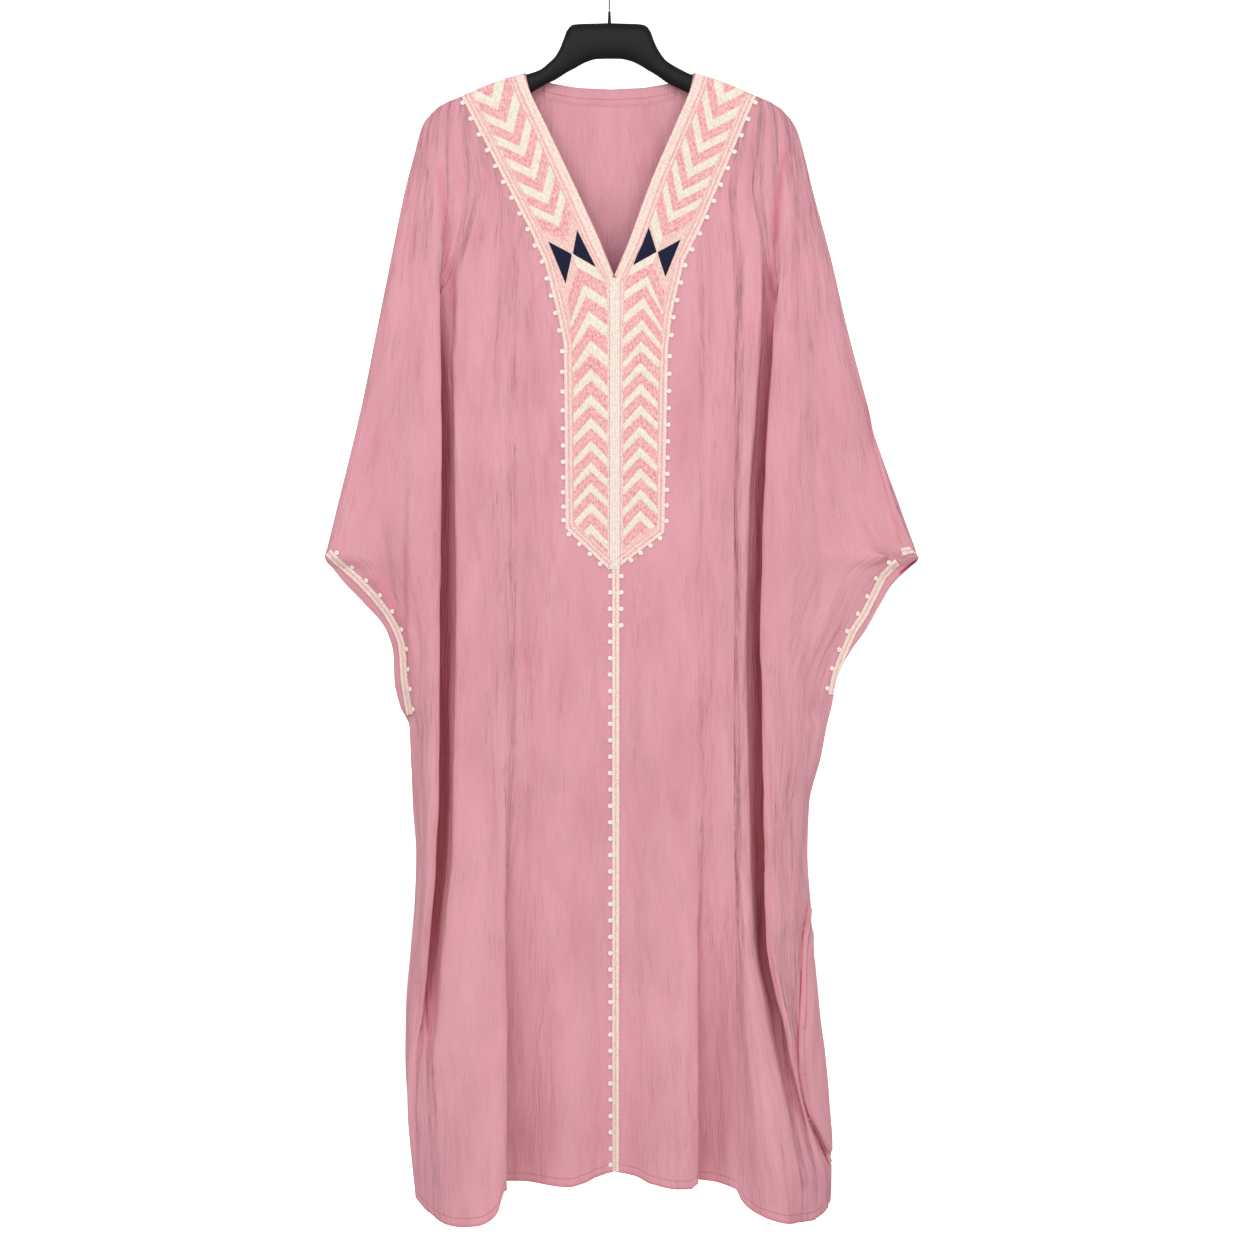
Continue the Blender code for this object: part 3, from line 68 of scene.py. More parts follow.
# The cut corners of the top edge: the shoulder points over the hanger's ends and the neck points.
SHOULDER_LEFT = (-222.0, -175.0)
SHOULDER_RIGHT = (216.0, -175.0)
NECK_LEFT = (-103.0, -118.8)
NECK_RIGHT = (99.5, -118.8)
YOKE_LINE = -259.0
ARM_DEPTH = 9.5
ARM_ROUND = 12.0
FREE_NECK_DEPTH = 12.5
FREE_NECK_REACH = 10.0
FOLD_OPENS = 12.0
LOBE_OPENS = 10.0

# The shoulder line over the hanger's arms, from the left shoulder point to the left neck point.
SHOULDER_LEFT_LINE = ((-222, -175.0), (-209, -161.0), (-196, -153.5), (-178, -146.5), (-161, -139.3),
                      (-144, -132.0), (-125, -125.0), (-103, -118.8))
SHOULDER_RIGHT_LINE = ((216, -175.0), (203, -161.0), (191, -153.5), (174, -146.5), (157, -139.3),
                       (140, -132.0), (121, -125.0), (99.5, -118.8))
# The back neck is a shallow scoop between the neck points.
BACK_NECK_LINE = ((-103, -118.8), (-94, -121.8), (-86, -125.6), (-67, -130.0), (-40, -134.5), (0, -136.5),
                  (40, -134.5), (66, -130.0), (83, -125.6), (90.5, -121.8), (99.5, -118.8))
NECK_COLUMNS = ("z", "left", "right")
NECK_EDGES = (
    (-118.8, -103.0, 99.5), (-141, -97.5, 94.5), (-186, -76.0, 75.3), (-205, -67.0, 67.0),
    (-245, -48.0, 49.6), (-264, -39.4, 42.0), (-322, -13.1, 21.5), (-345, -4.0, 12.5), (-365, 3.6, 3.6),
)

# Outline from the front. seam_in and back_in are how far inside the right edge the right-hand seam
# ends the front and begins the back, seam_y its depth there, part half the gap between front and
# back at the edge, open 1 where that gap is a sleeve's mouth.
OUTLINE_COLUMNS = ("z", "left", "right", "seam_in", "back_in", "seam_y", "part", "open")
OUTLINE = (
    (-175, -222, 216, 0, 0, 0, 0.15, 0),
    (-187, -228, 223, 0, 0, 0, 0.15, 0),
    (-217, -236, 232, 0, 0, 0, 0.15, 0),
    (-259, -247, 242, 0, 0, 0, 0.15, 0),
    (-337, -263, 263, 0, 0, 0, 0.15, 0),
    (-427, -281, 284, 0, 0, 0, 0.15, 0),
    (-517, -299, 308, 0, 0, 0, 0.4, 0),
    (-577, -313, 325, 6, 6, -5, 0.4, 0),
    (-637, -328, 346, 10, 10, -8, 0.15, 0),
    (-690, -341, 366, 7, 7, -5, 0.4, 0),
    (-701, -344, 370, 0, 0, 0, 0.4, 0),
    (-714, -333, 357, 3, 0, 0, 3.0, 1),
    (-728, -322, 342, 2, 0, 0, 6.0, 1),
    (-757, -294, 322, 0, 0, 0, 9.0, 1),
    (-787, -269, 305, 0, 0, 0, 11.0, 1),
    (-817, -260, 284, 0, 0, 0, 12.0, 1),
    (-847, -259, 270, 0, 0, 0, 11.0, 1),
    (-880, -252, 264, 0, 0, 0, 7.0, 1),
    (-903, -242, 259, 0, 0, 0, 0.15, 0),
    (-940, -240, 252, 0, 0, 0, 0.15, 0),
    (-997, -238, 238, 0, 0, 0, 0.15, 0),
    (-1057, -234, 236, 0, 0, 0, 0.15, 0),
    (-1117, -236, 240, 0, 0, 0, 0.5, 0),
    (-1177, -241, 245, 11, 11, -18, 0.6, 0),
    (-1237, -246, 250, 18, 18, -30, 0.3, 0),
    (-1297, -247, 256, 27, 27, -42, 0.15, 0),
    (-1357, -244, 260, 24, 24, -42, 0.15, 0),
    (-1398, -240, 264, 11, 11, -24, 0.15, 0),
    (-1430, -236, 265, 0, 0, 0, 0.15, 0),
    (-1490, -231, 264, 0, 0, 0, 0.15, 0),
)

# Fold at the left wing: the wing's layer lies in front, its edge facing the centre. lap is how far
# the cloth runs back under the edge; below zero the fold is open. shoulder is where the centre
# panel comes forward again beside the dark recess.
WING_COLUMNS = ("z", "edge_x", "lap", "edge_y", "deep_y", "shoulder_x", "shoulder_y", "belly_y")
LEFT_WING = (
    (-259, -203, -34, -15, -15, -155, -15, -11),
    (-337, -204, -8, -25, -14, -172, -20, -17),
    (-397, -204, 12, -32, -10, -183, -25, -21),
    (-487, -203, 30, -42, -7, -186, -31, -27),
    (-607, -202, 42, -49, -7, -186, -36, -32),
    (-703, -202, 46, -52, -7, -186, -38, -34),
    (-799, -202, 36, -54, -7, -186, -40, -35),
    (-871, -203, 28, -54, -7, -187, -41, -35),
    (-955, -204, 20, -54, -7, -188, -42, -34),
    (-1051, -206, 17, -52, -8, -190, -44, -32),
    (-1128, -212, 12, -50, -14, -196, -49, -30),
    (-1204, -218, 9, -47, -22, -200, -54, -27),
    (-1243, -222, 4, -45, -28, -203, -57, -25),
    (-1290, -230, -9, -39, -35, -210, -62, -21),
    (-1351, -233, -12, -33, -38, -206, -66, -18),
    (-1451, -226, -12, -28, -45, -200, -74, -14),
    (-1490, -222, -12, -28, -46, -198, -76, -14),
)
RIGHT_WING = (
    (-259, 204, -26, -15, -15, 168, -15, -11),
    (-337, 200, -6, -24, -13, 178, -20, -17),
    (-397, 195, 10, -31, -10, 178, -25, -21),
    (-487, 190, 26, -39, -7, 173, -30, -27),
    (-607, 183, 36, -45, -7, 166, -34, -31),
    (-703, 180, 42, -48, -7, 162, -36, -33),
    (-799, 177.5, 44, -50, -7, 160, -37, -34),
    (-871, 179, 42, -51, -7, 161, -37, -35),
    (-955, 180.5, 36, -51, -7, 163, -38, -34),
    (-1051, 182, 30, -51, -7, 165, -39, -33),
    (-1153, 185, 24, -53, -9, 168, -44, -34),
    (-1254, 203, 9, -58, -20, 186, -57, -40),
    (-1304, 214, 4, -60, -28, 196, -62, -46),
    (-1380, 234, -4, -54, -38, 212, -67, -38),
    (-1430, 250, -12, -40, -46, 220, -70, -24),
    (-1451, 252, -12, -32, -46, 222, -70, -16),
    (-1490, 252, -12, -26, -46, 222, -70, -14),
)
# Fold of the left lobe, open above z -1060, deep at the hem, and the soft crest beside it.
LOBE_COLUMNS = ("z", "crest_x", "crest_y", "edge_x", "lap", "edge_y", "deep_y", "floor_x", "floor_y",
                "next_x", "next_y", "centre_y")
LEFT_LOBE = (
    (-259, -143, -15, -122, -16, -14.5, -14.5, -90, -14, -66, -14, -14),
    (-362, -150, -23, -124, -16, -22, -22, -90, -22, -52, -22, -22),
    (-511, -156, -32, -126, -16, -31, -30, -90, -30, -50, -30, -30),
    (-703, -158, -39, -127, -16, -38, -37, -90, -36, -50, -36, -36),
    (-871, -158, -42, -127, -16, -40, -38, -92, -37, -50, -37, -37),
    (-991, -158, -44, -126, -14, -42, -37, -94, -36, -50, -36, -36),
    (-1063, -160, -49, -125, -8, -47, -36, -97, -35, -50, -36, -34),
    (-1147, -165, -57, -125, 0, -57, -33, -101, -32, -50, -36, -31),
    (-1243, -172, -68, -125, 8, -68, -30, -105, -28, -50, -36, -26),
    (-1303, -176, -76, -125, 13, -76, -28, -106, -26, -50, -38, -23),
    (-1380, -178, -84, -125, 17, -82, -25, -108, -23, -50, -42, -20),
    (-1490, -178, -90, -124, 20, -85, -22, -108, -20, -50, -45, -16),
)
# The narrower fold at the right of the centre, and the trough between it and the right lobe.
RIGHT_LOBE = (
    (-259, 72, -14, 97, -12, -14, -14, 122, -14, 140, -14, -14),
    (-362, 52, -22, 100, -12, -22, -22, 124, -22, 146, -22, -22),
    (-511, 52, -30, 102, -12, -30, -30, 126, -30, 147, -30, -30),
    (-703, 52, -36, 102, -12, -37, -37, 126, -36, 146, -36, -36),
    (-871, 54, -37, 102, -12, -37, -36, 126, -36, 146, -36, -37),
    (-1051, 56, -37, 103, -10, -36, -34, 124, -33, 146, -36, -34),
    (-1147, 62, -38, 103, -7, -39, -31, 122, -30, 147, -40, -31),
    (-1243, 68, -41, 103, -2, -43, -27, 121, -25, 148, -44, -26),
    (-1303, 72, -44, 103, 3, -47, -23, 120, -20, 148, -46, -23),
    (-1380, 75, -47, 103, 6, -50, -20, 120, -16, 148, -46, -20),
    (-1490, 78, -49, 103, 8, -51, -18, 121, -14, 148, -44, -16),
)
CREST_COLUMNS = ("z", "x", "y")
RIGHT_CREST = (
    (-259, 154, -15), (-362, 160, -23), (-511, 158, -31), (-703, 154, -36), (-1051, 155, -39),
    (-1147, 158, -48), (-1243, 170, -63), (-1303, 178, -72), (-1380, 192, -82), (-1430, 204, -88),
    (-1490, 212, -90),
)
# The front's hem: place and z. The place counts the section's named points from the left, and may
# lie between two of them.
HEM_LEFT = (
    (0, -1450), (1, -1456), (3, -1465), (5, -1474), (7, -1480), (10, -1486), (10.5, -1484.5),
    (10.75, -1480), (11, -1469), (11.5, -1456), (12, -1446), (14, -1445), (15, -1448), (15.3, -1445),
    (15.6, -1439), (16, -1434),
)
HEM_RIGHT = (
    (0, -1434), (0.33, -1437), (0.6, -1444.5), (1, -1449.5), (2, -1449), (3, -1444), (4, -1443.5),
    (5, -1446), (6, -1450), (6.1, -1460), (6.25, -1470), (6.5, -1477.5), (7, -1482.5), (9, -1485.5),
    (11, -1486), (13, -1483), (14, -1479.5), (15, -1475), (16, -1468), (17, -1462),
)

# The back hangs in two Z folds under the hanger's ends and three soft waves between them.
BACK_RIGHT = (
    (-259, 190, -22, 14, 14, 150, 14, 11),
    (-397, 180, 4, 30, 13, 156, 24, 20),
    (-607, 172, 28, 44, 8, 152, 34, 30),
    (-799, 168, 34, 50, 8, 148, 38, 33),
    (-955, 168, 30, 52, 9, 148, 40, 33),
    (-1051, 170, 24, 54, 12, 150, 42, 32),
    (-1204, 176, 16, 58, 20, 155, 50, 30),
    (-1351, 184, 8, 62, 26, 162, 56, 26),
    (-1440, 190, 5, 66, 30, 166, 58, 22),
)
BACK_LEFT = (
    (-259, -196, -22, 14, 14, -152, 14, 11),
    (-397, -186, 4, 30, 13, -162, 24, 20),
    (-607, -180, 30, 42, 8, -163, 34, 29),
    (-799, -178, 28, 48, 8, -161, 38, 32),
    (-955, -180, 22, 50, 8, -163, 40, 31),
    (-1051, -184, 16, 52, 10, -167, 42, 30),
    (-1204, -194, 9, 54, 18, -174, 48, 27),
    (-1351, -204, 4, 55, 26, -182, 52, 24),
    (-1440, -206, 2, 56, 30, -185, 54, 20),
)
BACK_WAVE_COLUMNS = ("z", "x1", "y1", "x2", "y2", "x3", "y3", "x4", "y4", "x5", "y5", "x6", "y6",
                     "x7", "y7")
BACK_WAVES = (
    (-259, 111.6, 14, 101.6, 14, 48, 14, -12, 14, -72, 14, -103.9, 14, -113.9, 14),
    (-397, 100, 24, 84, 24, 42, 24, -18, 24, -76, 24, -102, 24, -122, 24),
    (-607, 96, 34, 72, 34, 40, 33, -20, 35, -80, 33, -102, 33.5, -126, 33),
    (-799, 95, 38, 68, 37, 40, 36, -20, 39, -80, 36, -103, 37, -128, 38),
    (-1051, 94, 44, 67, 39.5, 40, 35, -21, 46, -80, 35, -104, 38, -130, 42),
    (-1204, 94, 52, 67, 43, 40, 33, -22, 54, -80, 34, -105, 41, -132, 48),
    (-1440, 95, 64, 67, 47, 40, 30, -22, 62, -80, 32, -106, 44, -134, 56),
)
BACK_HEM = (-1431, 5.0, 0.035)

# Stretches of each span of a section, and the pitch of the cloth's rows.
COLUMN_PITCH = 3.6
ROW_PITCH = 5.8
TOP_SHARES = tuple(k / 34 for k in range(34))
HEM_START = -1400.0
HEM_SHARES = 16
HEM_EDGE = (14.0, 11.5, 10.2, 9.3, 8.4, 7.0, 4.0, 1.5, 0.0)
# Rows from the last one up and how dark their painted shade is: the hem's stitched line first.
HEM_SHADES = ((-6, 0.42), (-1, 0.5), (-2, 0.35))
TURNED = (0.0, 3.0, 7.0, 10.0)
TURNED_INSIDE = 1.0
HEM_LEVEL = -1460
FINE_STEPS = 12

# Creases set on the front: how deep (below zero a ridge), half width, then x, z places.
FRONT_CREASES = (
    (7.0, 6.5, ((-204, -229), (-198, -289), (-194, -346), (-192, -391), (-191, -463))),
    (7.0, 6.5, ((205, -229), (199, -289), (194, -331), (190, -379), (186, -451))),
    (9.0, 4.6, ((-193, -397), (-193, -487), (-193, -607), (-193, -871), (-194, -955), (-196, -1051),
                (-202, -1128), (-208, -1204), (-211, -1264))),
    (9.0, 4.6, ((186, -379), (181, -487), (174, -607), (170, -703), (168, -799), (169, -871),
                (171, -955), (173, -1051), (176, -1153), (191, -1254), (202, -1310))),
    (3.0, 14.0, ((-119, -439), (-112, -535), (-103, -655), (-101, -799), (-101, -943))),
    (5.5, 17.0, ((-103, -703), (-102, -871), (-102, -1015), (-101, -1147), (-100, -1231))),
    (-2.0, 10.0, ((-136, -703), (-136, -871), (-140, -1015), (-161, -1147), (-191, -1255))),
    (1.3, 2.4, ((-104, -703), (-103, -751), (-101, -799), (-101, -871))),
    (1.2, 2.2, ((-112, -775), (-112, -859), (-110, -943))),
    (2.5, 13.0, ((106, -559), (110, -679), (113, -799), (116, -919))),
    (5.0, 16.0, ((114, -775), (118, -943), (122, -1087), (127, -1231), (130, -1303))),
    (0.8, 2.6, ((139, -331), (143, -427), (143, -547), (145, -679), (144, -799))),
    (6.0, 5.5, ((180, -1110), (186, -1190), (196, -1262), (214, -1342), (234, -1403), (250, -1440))),
    (-1.5, 6.0, ((156, -391), (157, -571), (157, -703), (154, -871), (156, -1063))),
    (2.2, 9.0, ((35, -799), (32, -895), (26, -1015), (22, -1135), (30, -1255), (30, -1399))),
    (1.4, 8.0, ((-16, -1207), (-8, -1303), (-13, -1423))),
    (2.8, 9.0, ((241, -355), (244, -451), (245, -571), (247, -691), (254, -775), (256, -823))),
    (-1.5, 8.0, ((224, -367), (224, -511), (222, -631), (209, -727), (222, -847), (222, -967))),
    (9.0, 7.0, ((-276, -640), (-270, -703), (-262, -763), (-255, -815), (-250, -860), (-247, -900),
                (-245, -950))),
    (-6.0, 5.0, ((-237, -560), (-236, -643), (-236, -703), (-237, -775), (-237, -859), (-236, -940),
                 (-235, -1010))),
    (1.2, 2.4, ((-145, -475), (-144, -535), (-142, -595))),
    (1.1, 2.2, ((-115, -427), (-114, -487), (-112, -535))),
    (1.2, 2.6, ((-72, -475), (-71, -535), (-73, -607), (-74, -667))),
    (1.0, 2.4, ((-169, -487), (-172, -595), (-169, -703))),
    (-1.0, 3.0, ((-89, -535), (-88, -631), (-85, -703))),
    (1.5, 3.0, ((-224, -346), (-215, -373), (-210, -406))),
    (1.4, 3.0, ((-229, -391), (-220, -421), (-212, -454))),
    (1.4, 3.5, ((227, -955), (241, -991), (248, -1039))),
    (1.2, 3.0, ((234, -871), (246, -907), (253, -943))),
    (1.3, 2.6, ((-198, -1303), (-197, -1363), (-198, -1447))),
    (1.2, 2.4, ((-184, -1327), (-182, -1387), (-184, -1471))),
    (1.3, 2.6, ((-169, -1291), (-168, -1363), (-167, -1459))),
    (-1.4, 4.0, ((-152, -1279), (-150, -1363), (-148, -1459))),
    (1.5, 3.0, ((191, -1303), (200, -1375), (210, -1459))),
    (1.3, 2.6, ((169, -1267), (175, -1351), (181, -1435))),
)
BACK_CREASES = (
    (1.8, 9.0, ((60, -560), (62, -760), (60, -980))),
    (-1.5, 7.0, ((10, -480), (8, -700), (12, -930))),
    (1.6, 8.0, ((-50, -620), (-54, -800), (-50, -1040))),
    (1.2, 2.5, ((120, -700), (118, -860), (121, -1000))),
    (1.2, 2.5, ((-140, -640), (-143, -760), (-140, -900))),
)

# Embroidered yoke. The tips are the outer corners of its cream chevrons, one after the other, and
# the arms the ways from there to the two borders.
YOKES = {
    "yoke_left": {
        "outer": ((-179, -148.8), (-97.8, -307.7), (-78.7, -350.8), (-63.1, -413.2), (-55.9, -447.9),
                  (-54.0, -666.8), (-4.7, -713.5)),
        "inner": ((-105.0, -122.6), (-98.3, -141.0), (-67.8, -205.0), (-40.2, -264.0),
                  (-13.9, -323.0), (3.2, -364.5)),
        "inner_low": ((-1.4, -372.0), (-1.4, -716.0)),
        "top": ((-105.0, -122.6), (-125, -126.6), (-144, -133.6), (-161, -140.9), (-179, -148.8)),
        "upper_field": ((-166.8, -142.8), (-123.6, -126.0), (-114.0, -147.6), (-83.4, -210.6),
                        (-56.4, -268.8), (-40.6, -309.2), (-46.0, -339.2), (-75.4, -323.4),
                        (-87.7, -299.3)),
        "upper_tips": ((-182.4, -72.0), (-166.8, -103.2), (-151.2, -134.4), (-135.0, -165.6),
                       (-117.0, -194.4), (-103.2, -222.0), (-90.0, -249.6), (-75.0, -279.6),
                       (-61.9, -306.0), (-46.0, -339.2)),
        "upper_arms": ((-26.0, 12.0), (8.0, 34.5)),
        "lower_field": ((-46.0, -339.2), (-17.3, -355.8), (-6.8, -375.2), (-4.4, -405.6),
                        (-4.1, -445.2), (-4.1, -697.0), (-44.4, -658.7), (-44.6, -511.2),
                        (-46.1, -462.0), (-49.7, -405.6), (-54.0, -376.0)),
        "lower_tips": ((-46.0, -339.2), (-32.5, -375.2), (-26.4, -407.4), (-24.0, -442.8),
                       (-24.0, -476.4), (-24.0, -507.1), (-24.0, -534.6), (-24.0, -562.2),
                       (-24.0, -588.0), (-24.0, -612.7), (-24.0, -636.0), (-24.0, -661.2),
                       (-24.0, -686.4), (-24.0, -711.6)),
        "lower_arms": ((-8.0, -36.7), (28.7, -16.6)),
        "bow_ties": (((-75.4, -323.4), (-46.0, -339.2), (-54.0, -376.0)),
                     ((-40.6, -309.2), (-17.3, -355.8), (-46.0, -339.2))),
    },
    "yoke_right": {
        "outer": ((173.5, -148.4), (107.4, -306.6), (87.0, -348.5), (72.7, -410.8), (67.9, -453.8),
                  (63.4, -672.0), (13.1, -709.9)),
        "inner": ((101.5, -122.6), (95.3, -141.0), (76.1, -186.0), (50.4, -245.0),
                  (22.3, -322.0), (4.2, -364.5)),
        "inner_low": ((10.6, -372.0), (10.6, -711.0)),
        "top": ((101.5, -122.6), (121, -126.6), (140, -133.6), (157, -140.9), (173.5, -148.4)),
        "upper_field": ((117.6, -127.2), (162.0, -142.8), (97.0, -298.9), (83.8, -320.9),
                        (55.0, -336.8), (45.2, -305.6), (66.4, -249.6), (92.2, -190.8),
                        (111.4, -146.4)),
        "upper_tips": ((174.0, -67.2), (159.6, -98.4), (144.0, -129.6), (128.4, -160.8),
                       (116.4, -191.4), (104.4, -218.4), (91.8, -247.8), (80.4, -275.4),
                       (69.0, -301.2), (55.0, -336.8)),
        "upper_arms": ((25.0, 13.0), (-7.0, 34.5)),
        "lower_field": ((55.0, -336.8), (64.8, -368.0), (62.4, -400.8), (60.5, -462.0),
                        (55.6, -511.2), (55.6, -662.2), (14.4, -693.2), (14.4, -445.2),
                        (15.2, -405.8), (16.4, -375.2), (25.6, -353.4)),
        "lower_tips": ((55.0, -336.8), (43.3, -365.5), (39.6, -391.8), (37.2, -418.1),
                       (36.0, -443.9), (34.8, -469.1), (34.8, -494.3), (34.8, -519.5),
                       (34.8, -544.7), (34.8, -569.9), (34.8, -595.1), (34.8, -620.3),
                       (34.8, -645.5), (34.8, -670.7), (34.8, -695.9)),
        "lower_arms": ((9.8, -31.2), (-29.4, -16.6)),
        "bow_ties": (((45.2, -305.6), (55.0, -336.8), (25.6, -353.4)),
                     ((83.8, -320.9), (64.8, -368.0), (55.0, -336.8))),
    },
}
COLUMN_ARMS = ((-16.8, -19.3), (16.8, -17.8))
ARMS_SETTLE = 4.0
CREAM_SHARE = 0.47
ARM_TAPER = 0.13
STITCH_HEIGHT = 0.9
STITCH_PITCH = 2.4
STITCH_COLUMNS = 3
LINE_SHARES = (0.0, 0.3, 0.7, 1.0)
LEAST_ARM = 2.5
BAND_LIFT = 0.5
BAND_WALL = 1.0
GUIDE_PITCH = 4.5
LEAST_GUIDE = 1.2

# Lines of the yoke's borders: how far from the edge each begins and ends, and its thread.
OUTER_BORDER = ((0.0, 3.6, "border_cream"), (3.8, 6.0, "border_pink"), (6.2, 8.2, "border_cream"),
                (8.4, 10.2, "border_pink"))
# Lines beside the neck: from and to at its edge, from and to beside the placket, and the thread.
NECK_BORDER = ((0.0, 4.8, -4.8, -2.4, "border_cream"), (5.0, 9.8, -2.3, 0.0, "border_cream"),
               (10.0, 12.2, 0.1, 1.3, "border_pink"), (12.4, 14.4, 1.4, 2.7, "border_cream"),
               (14.6, 16.4, 2.8, 3.4, "border_pink"))
COLUMN_BORDER = ((0.1, 1.3, "border_pink"), (1.4, 2.7, "border_cream"))
PLACKET_LINES = ((-1.2, 1.5, "placket"), (1.6, 4.5, "placket"), (4.8, 7.6, "placket"),
                 (7.7, 10.4, "placket"))
PLACKET_ENDS = (-368.0, -715.4)
BRAID_LINES = ((1.4, 5.0, "border_cream"), (5.0, 6.2, "border_pink"), (6.2, 10.0, "border_cream"))
BRAID_ENDS = (-715.6, -1433.5)
BRAID_WIDE = 75.0
CUFF_LINES = ((-4.4, -0.8, "border_cream"), (-0.8, 0.8, "border_pink"), (0.8, 4.4, "border_cream"))
CUFFS = {
    "left": ((-337.0, -694.6), (-325.5, -706.5), (-304.0, -725), (-283.5, -745.8), (-267.0, -766.4),
             (-255.0, -788.3), (-249.6, -803.5), (-247.8, -821), (-246.4, -845), (-243.0, -869),
             (-240.0, -888.6)),
    "right": ((342.2, -705.8), (325.4, -722.6), (316.0, -741.7), (303.8, -766.9), (288.5, -789.6),
              (276.5, -818.5), (269.5, -837.0), (265.5, -857), (264.0, -865)),
}
PICOT_RADIUS = 1.6
PICOT_THREAD = 1.45
PICOT_AWAY = 2.4
# Knots along the yokes' edges: their pitch at the first and last of the neck, column and low edges.
PICOT_PITCHES = {
    "yoke_left": ((21.4, 21.4), (25.0, 15.0), (17.0, 17.0)),
    "yoke_right": ((21.4, 21.4), (21.0, 18.0), (14.4, 14.4)),
}
BRAID_PICOT_PITCH = 19.5
CUFF_PICOT_PITCH = 24.0

NECK_BAND_ENDS = (-80.0, 77.0)

# Hanger, from left to right: x, top and bottom of its outline there, and half its thickness.
HANGER = (
    (-206.0, -172.0, -177.0, 2.0), (-204.0, -167.6, -182.0, 4.6), (-196.0, -157.4, -182.0, 6.2),
    (-178.0, -148.6, -176.5, 7.0), (-150.0, -136.8, -164.5, 7.4), (-125.0, -127.6, -154.0, 7.5),
    (-103.0, -121.2, -146.5, 7.5), (-96.0, -119.2, -143.0, 7.4), (-84.0, -114.6, -136.0, 7.6),
    (-76.0, -108.0, -131.5, 7.8), (-68.0, -100.6, -128.0, 8.0), (-62.0, -91.0, -124.5, 8.0),
    (-57.5, -80.0, -121.5, 8.0), (-53.5, -69.0, -119.0, 8.0), (-50.0, -64.0, -117.0, 8.0),
    (-45.0, -61.0, -114.5, 8.0), (-31.0, -60.0, -106.8, 8.0), (-17.0, -59.7, -102.6, 8.0),
    (-2.0, -59.3, -102.2, 8.0), (11.0, -59.7, -102.4, 8.0), (25.0, -60.0, -105.5, 8.0),
    (38.0, -61.0, -112.0, 8.0), (44.0, -64.0, -115.8, 8.0), (48.0, -70.0, -118.0, 8.0),
    (52.0, -81.5, -120.5, 8.0), (57.5, -92.5, -124.0, 8.0), (65.0, -103.0, -129.5, 8.0),
    (74.0, -109.5, -134.5, 7.8), (86.0, -116.0, -140.0, 7.5), (94.0, -120.0, -143.5, 7.4),
    (99.5, -121.6, -146.0, 7.5), (121.0, -127.6, -154.0, 7.5), (146.0, -136.8, -164.5, 7.4),
    (173.0, -148.4, -176.0, 7.0), (190.0, -156.6, -182.0, 6.2), (198.0, -166.6, -182.0, 4.6),
    (200.0, -171.0, -176.5, 2.0),
)
HANGER_SIDES = 28
HOOK_X = -1.9
COLLAR_RADII = (2.1, 1.5)
COLLAR_ENDS = (-59.0, -45.6)
HOOK_WIRE = 1.2
HOOK_INSIDE = 17.0
HOOK_START = -45.3
HOOK_OPEN_ANGLE = 205.0
WIRE_SIDES = 16

# Painted shade in fine dark lines on the front, along seams, beside the left cuff's fold and at the tops of
# the wings' recesses: how dark, half width and places.
PAINTED_SHADE_LINES = (
    (0.5, 1.9, ((306, -520), (311, -557), (329, -620), (346, -682))),
    (0.5, 2.2, ((-243, -690), (-243, -760), (-243, -830), (-242, -925))),
    (0.3, 9.0, ((-280, -732), (-262, -757), (-250, -785), (-246, -815), (-244, -850))),
    (0.45, 3.6, ((207, -218), (201, -262), (196, -318), (192, -370), (188, -420))),
    (0.35, 3.4, ((-205, -240), (-199, -290), (-195, -346), (-192, -400))),
)
# The flat-felled side seam where it turns to the front: its middle line from the top, and its half.
FELLED_SEAM = ((238.0, -1118), (236.4, -1131), (233.6, -1154), (231.8, -1180), (230.5, -1212), (228.0, -1243),
               (226.0, -1275), (226.5, -1312), (232.5, -1345), (240.5, -1368), (249.6, -1389), (258.0, -1408),
               (264.0, -1424))
FELLED_HALF = 3.7
FELLED_MIDDLE = 4
FELLED_DROP = 2.0
# Across the seam: share of its half, lift, and painted shade, which darkens its edges.
FELLED_LIFTS = ((-1.14, 0.0, 0.3), (-1.0, 0.95, 0.3), (-0.6, 1.3, 0.0), (0.0, 1.35, 0.0), (0.6, 1.3, 0.0),
                (1.0, 0.95, 0.35), (1.14, 0.0, 1.4), (1.5, 0.02, 1.2), (1.62, -0.2, 1.2))
# How dark the painted shade in the crinkle's troughs is.
TROUGH_SHADE = 0.12
TIP_LEVEL = -705.0
TIP_REACH = 150
# The turned corner of the right sleeve: a nook below it, darkened with painted shade, and a short end of trim
# above.
NOOK = ((368.5, -702.5), (353.0, -709.0), (344.0, -724.0), (350.0, -725.0), (358.0, -716.0))
NOOK_SHADE = 2.0
CUFF_TIPS = {"cuff_trim_front_right": ((347.0, -694.6), (364.8, -690.8))}

# Satin threads by name: their material, their light and dark colours, roughness and sheen.
THREADS = {
    "ground": ("stitch_ground", (245, 214, 204), (224, 174, 168)),
    "cream": ("stitch_cream", (247, 239, 224), (226, 214, 192)),
    "pink": ("stitch_pink", (250, 198, 196), (222, 134, 142)),
    "navy": ("stitch_navy", (17, 23, 60), (8, 11, 32), 0.8, 0.0),
    "placket": ("stitch_placket", (246, 239, 227), (228, 212, 200)),
    "border_cream": ("border_cream", (249, 232, 219), (234, 202, 190)),
    "knot": ("stitch_knot", (255, 250, 244), (250, 228, 220)),
    "border_pink": ("border_pink", (246, 200, 196), (226, 154, 156)),
}
# Crepe from the light to the dark of its patches, with painted shade in its wrinkles, then painted shade
# in the folds, seams and troughs, and the darkest painted shade in the nook and along the seam's edges.
CREPE = ((220, 158, 167), (209, 147, 157), (206, 98, 110), (118, 46, 56))

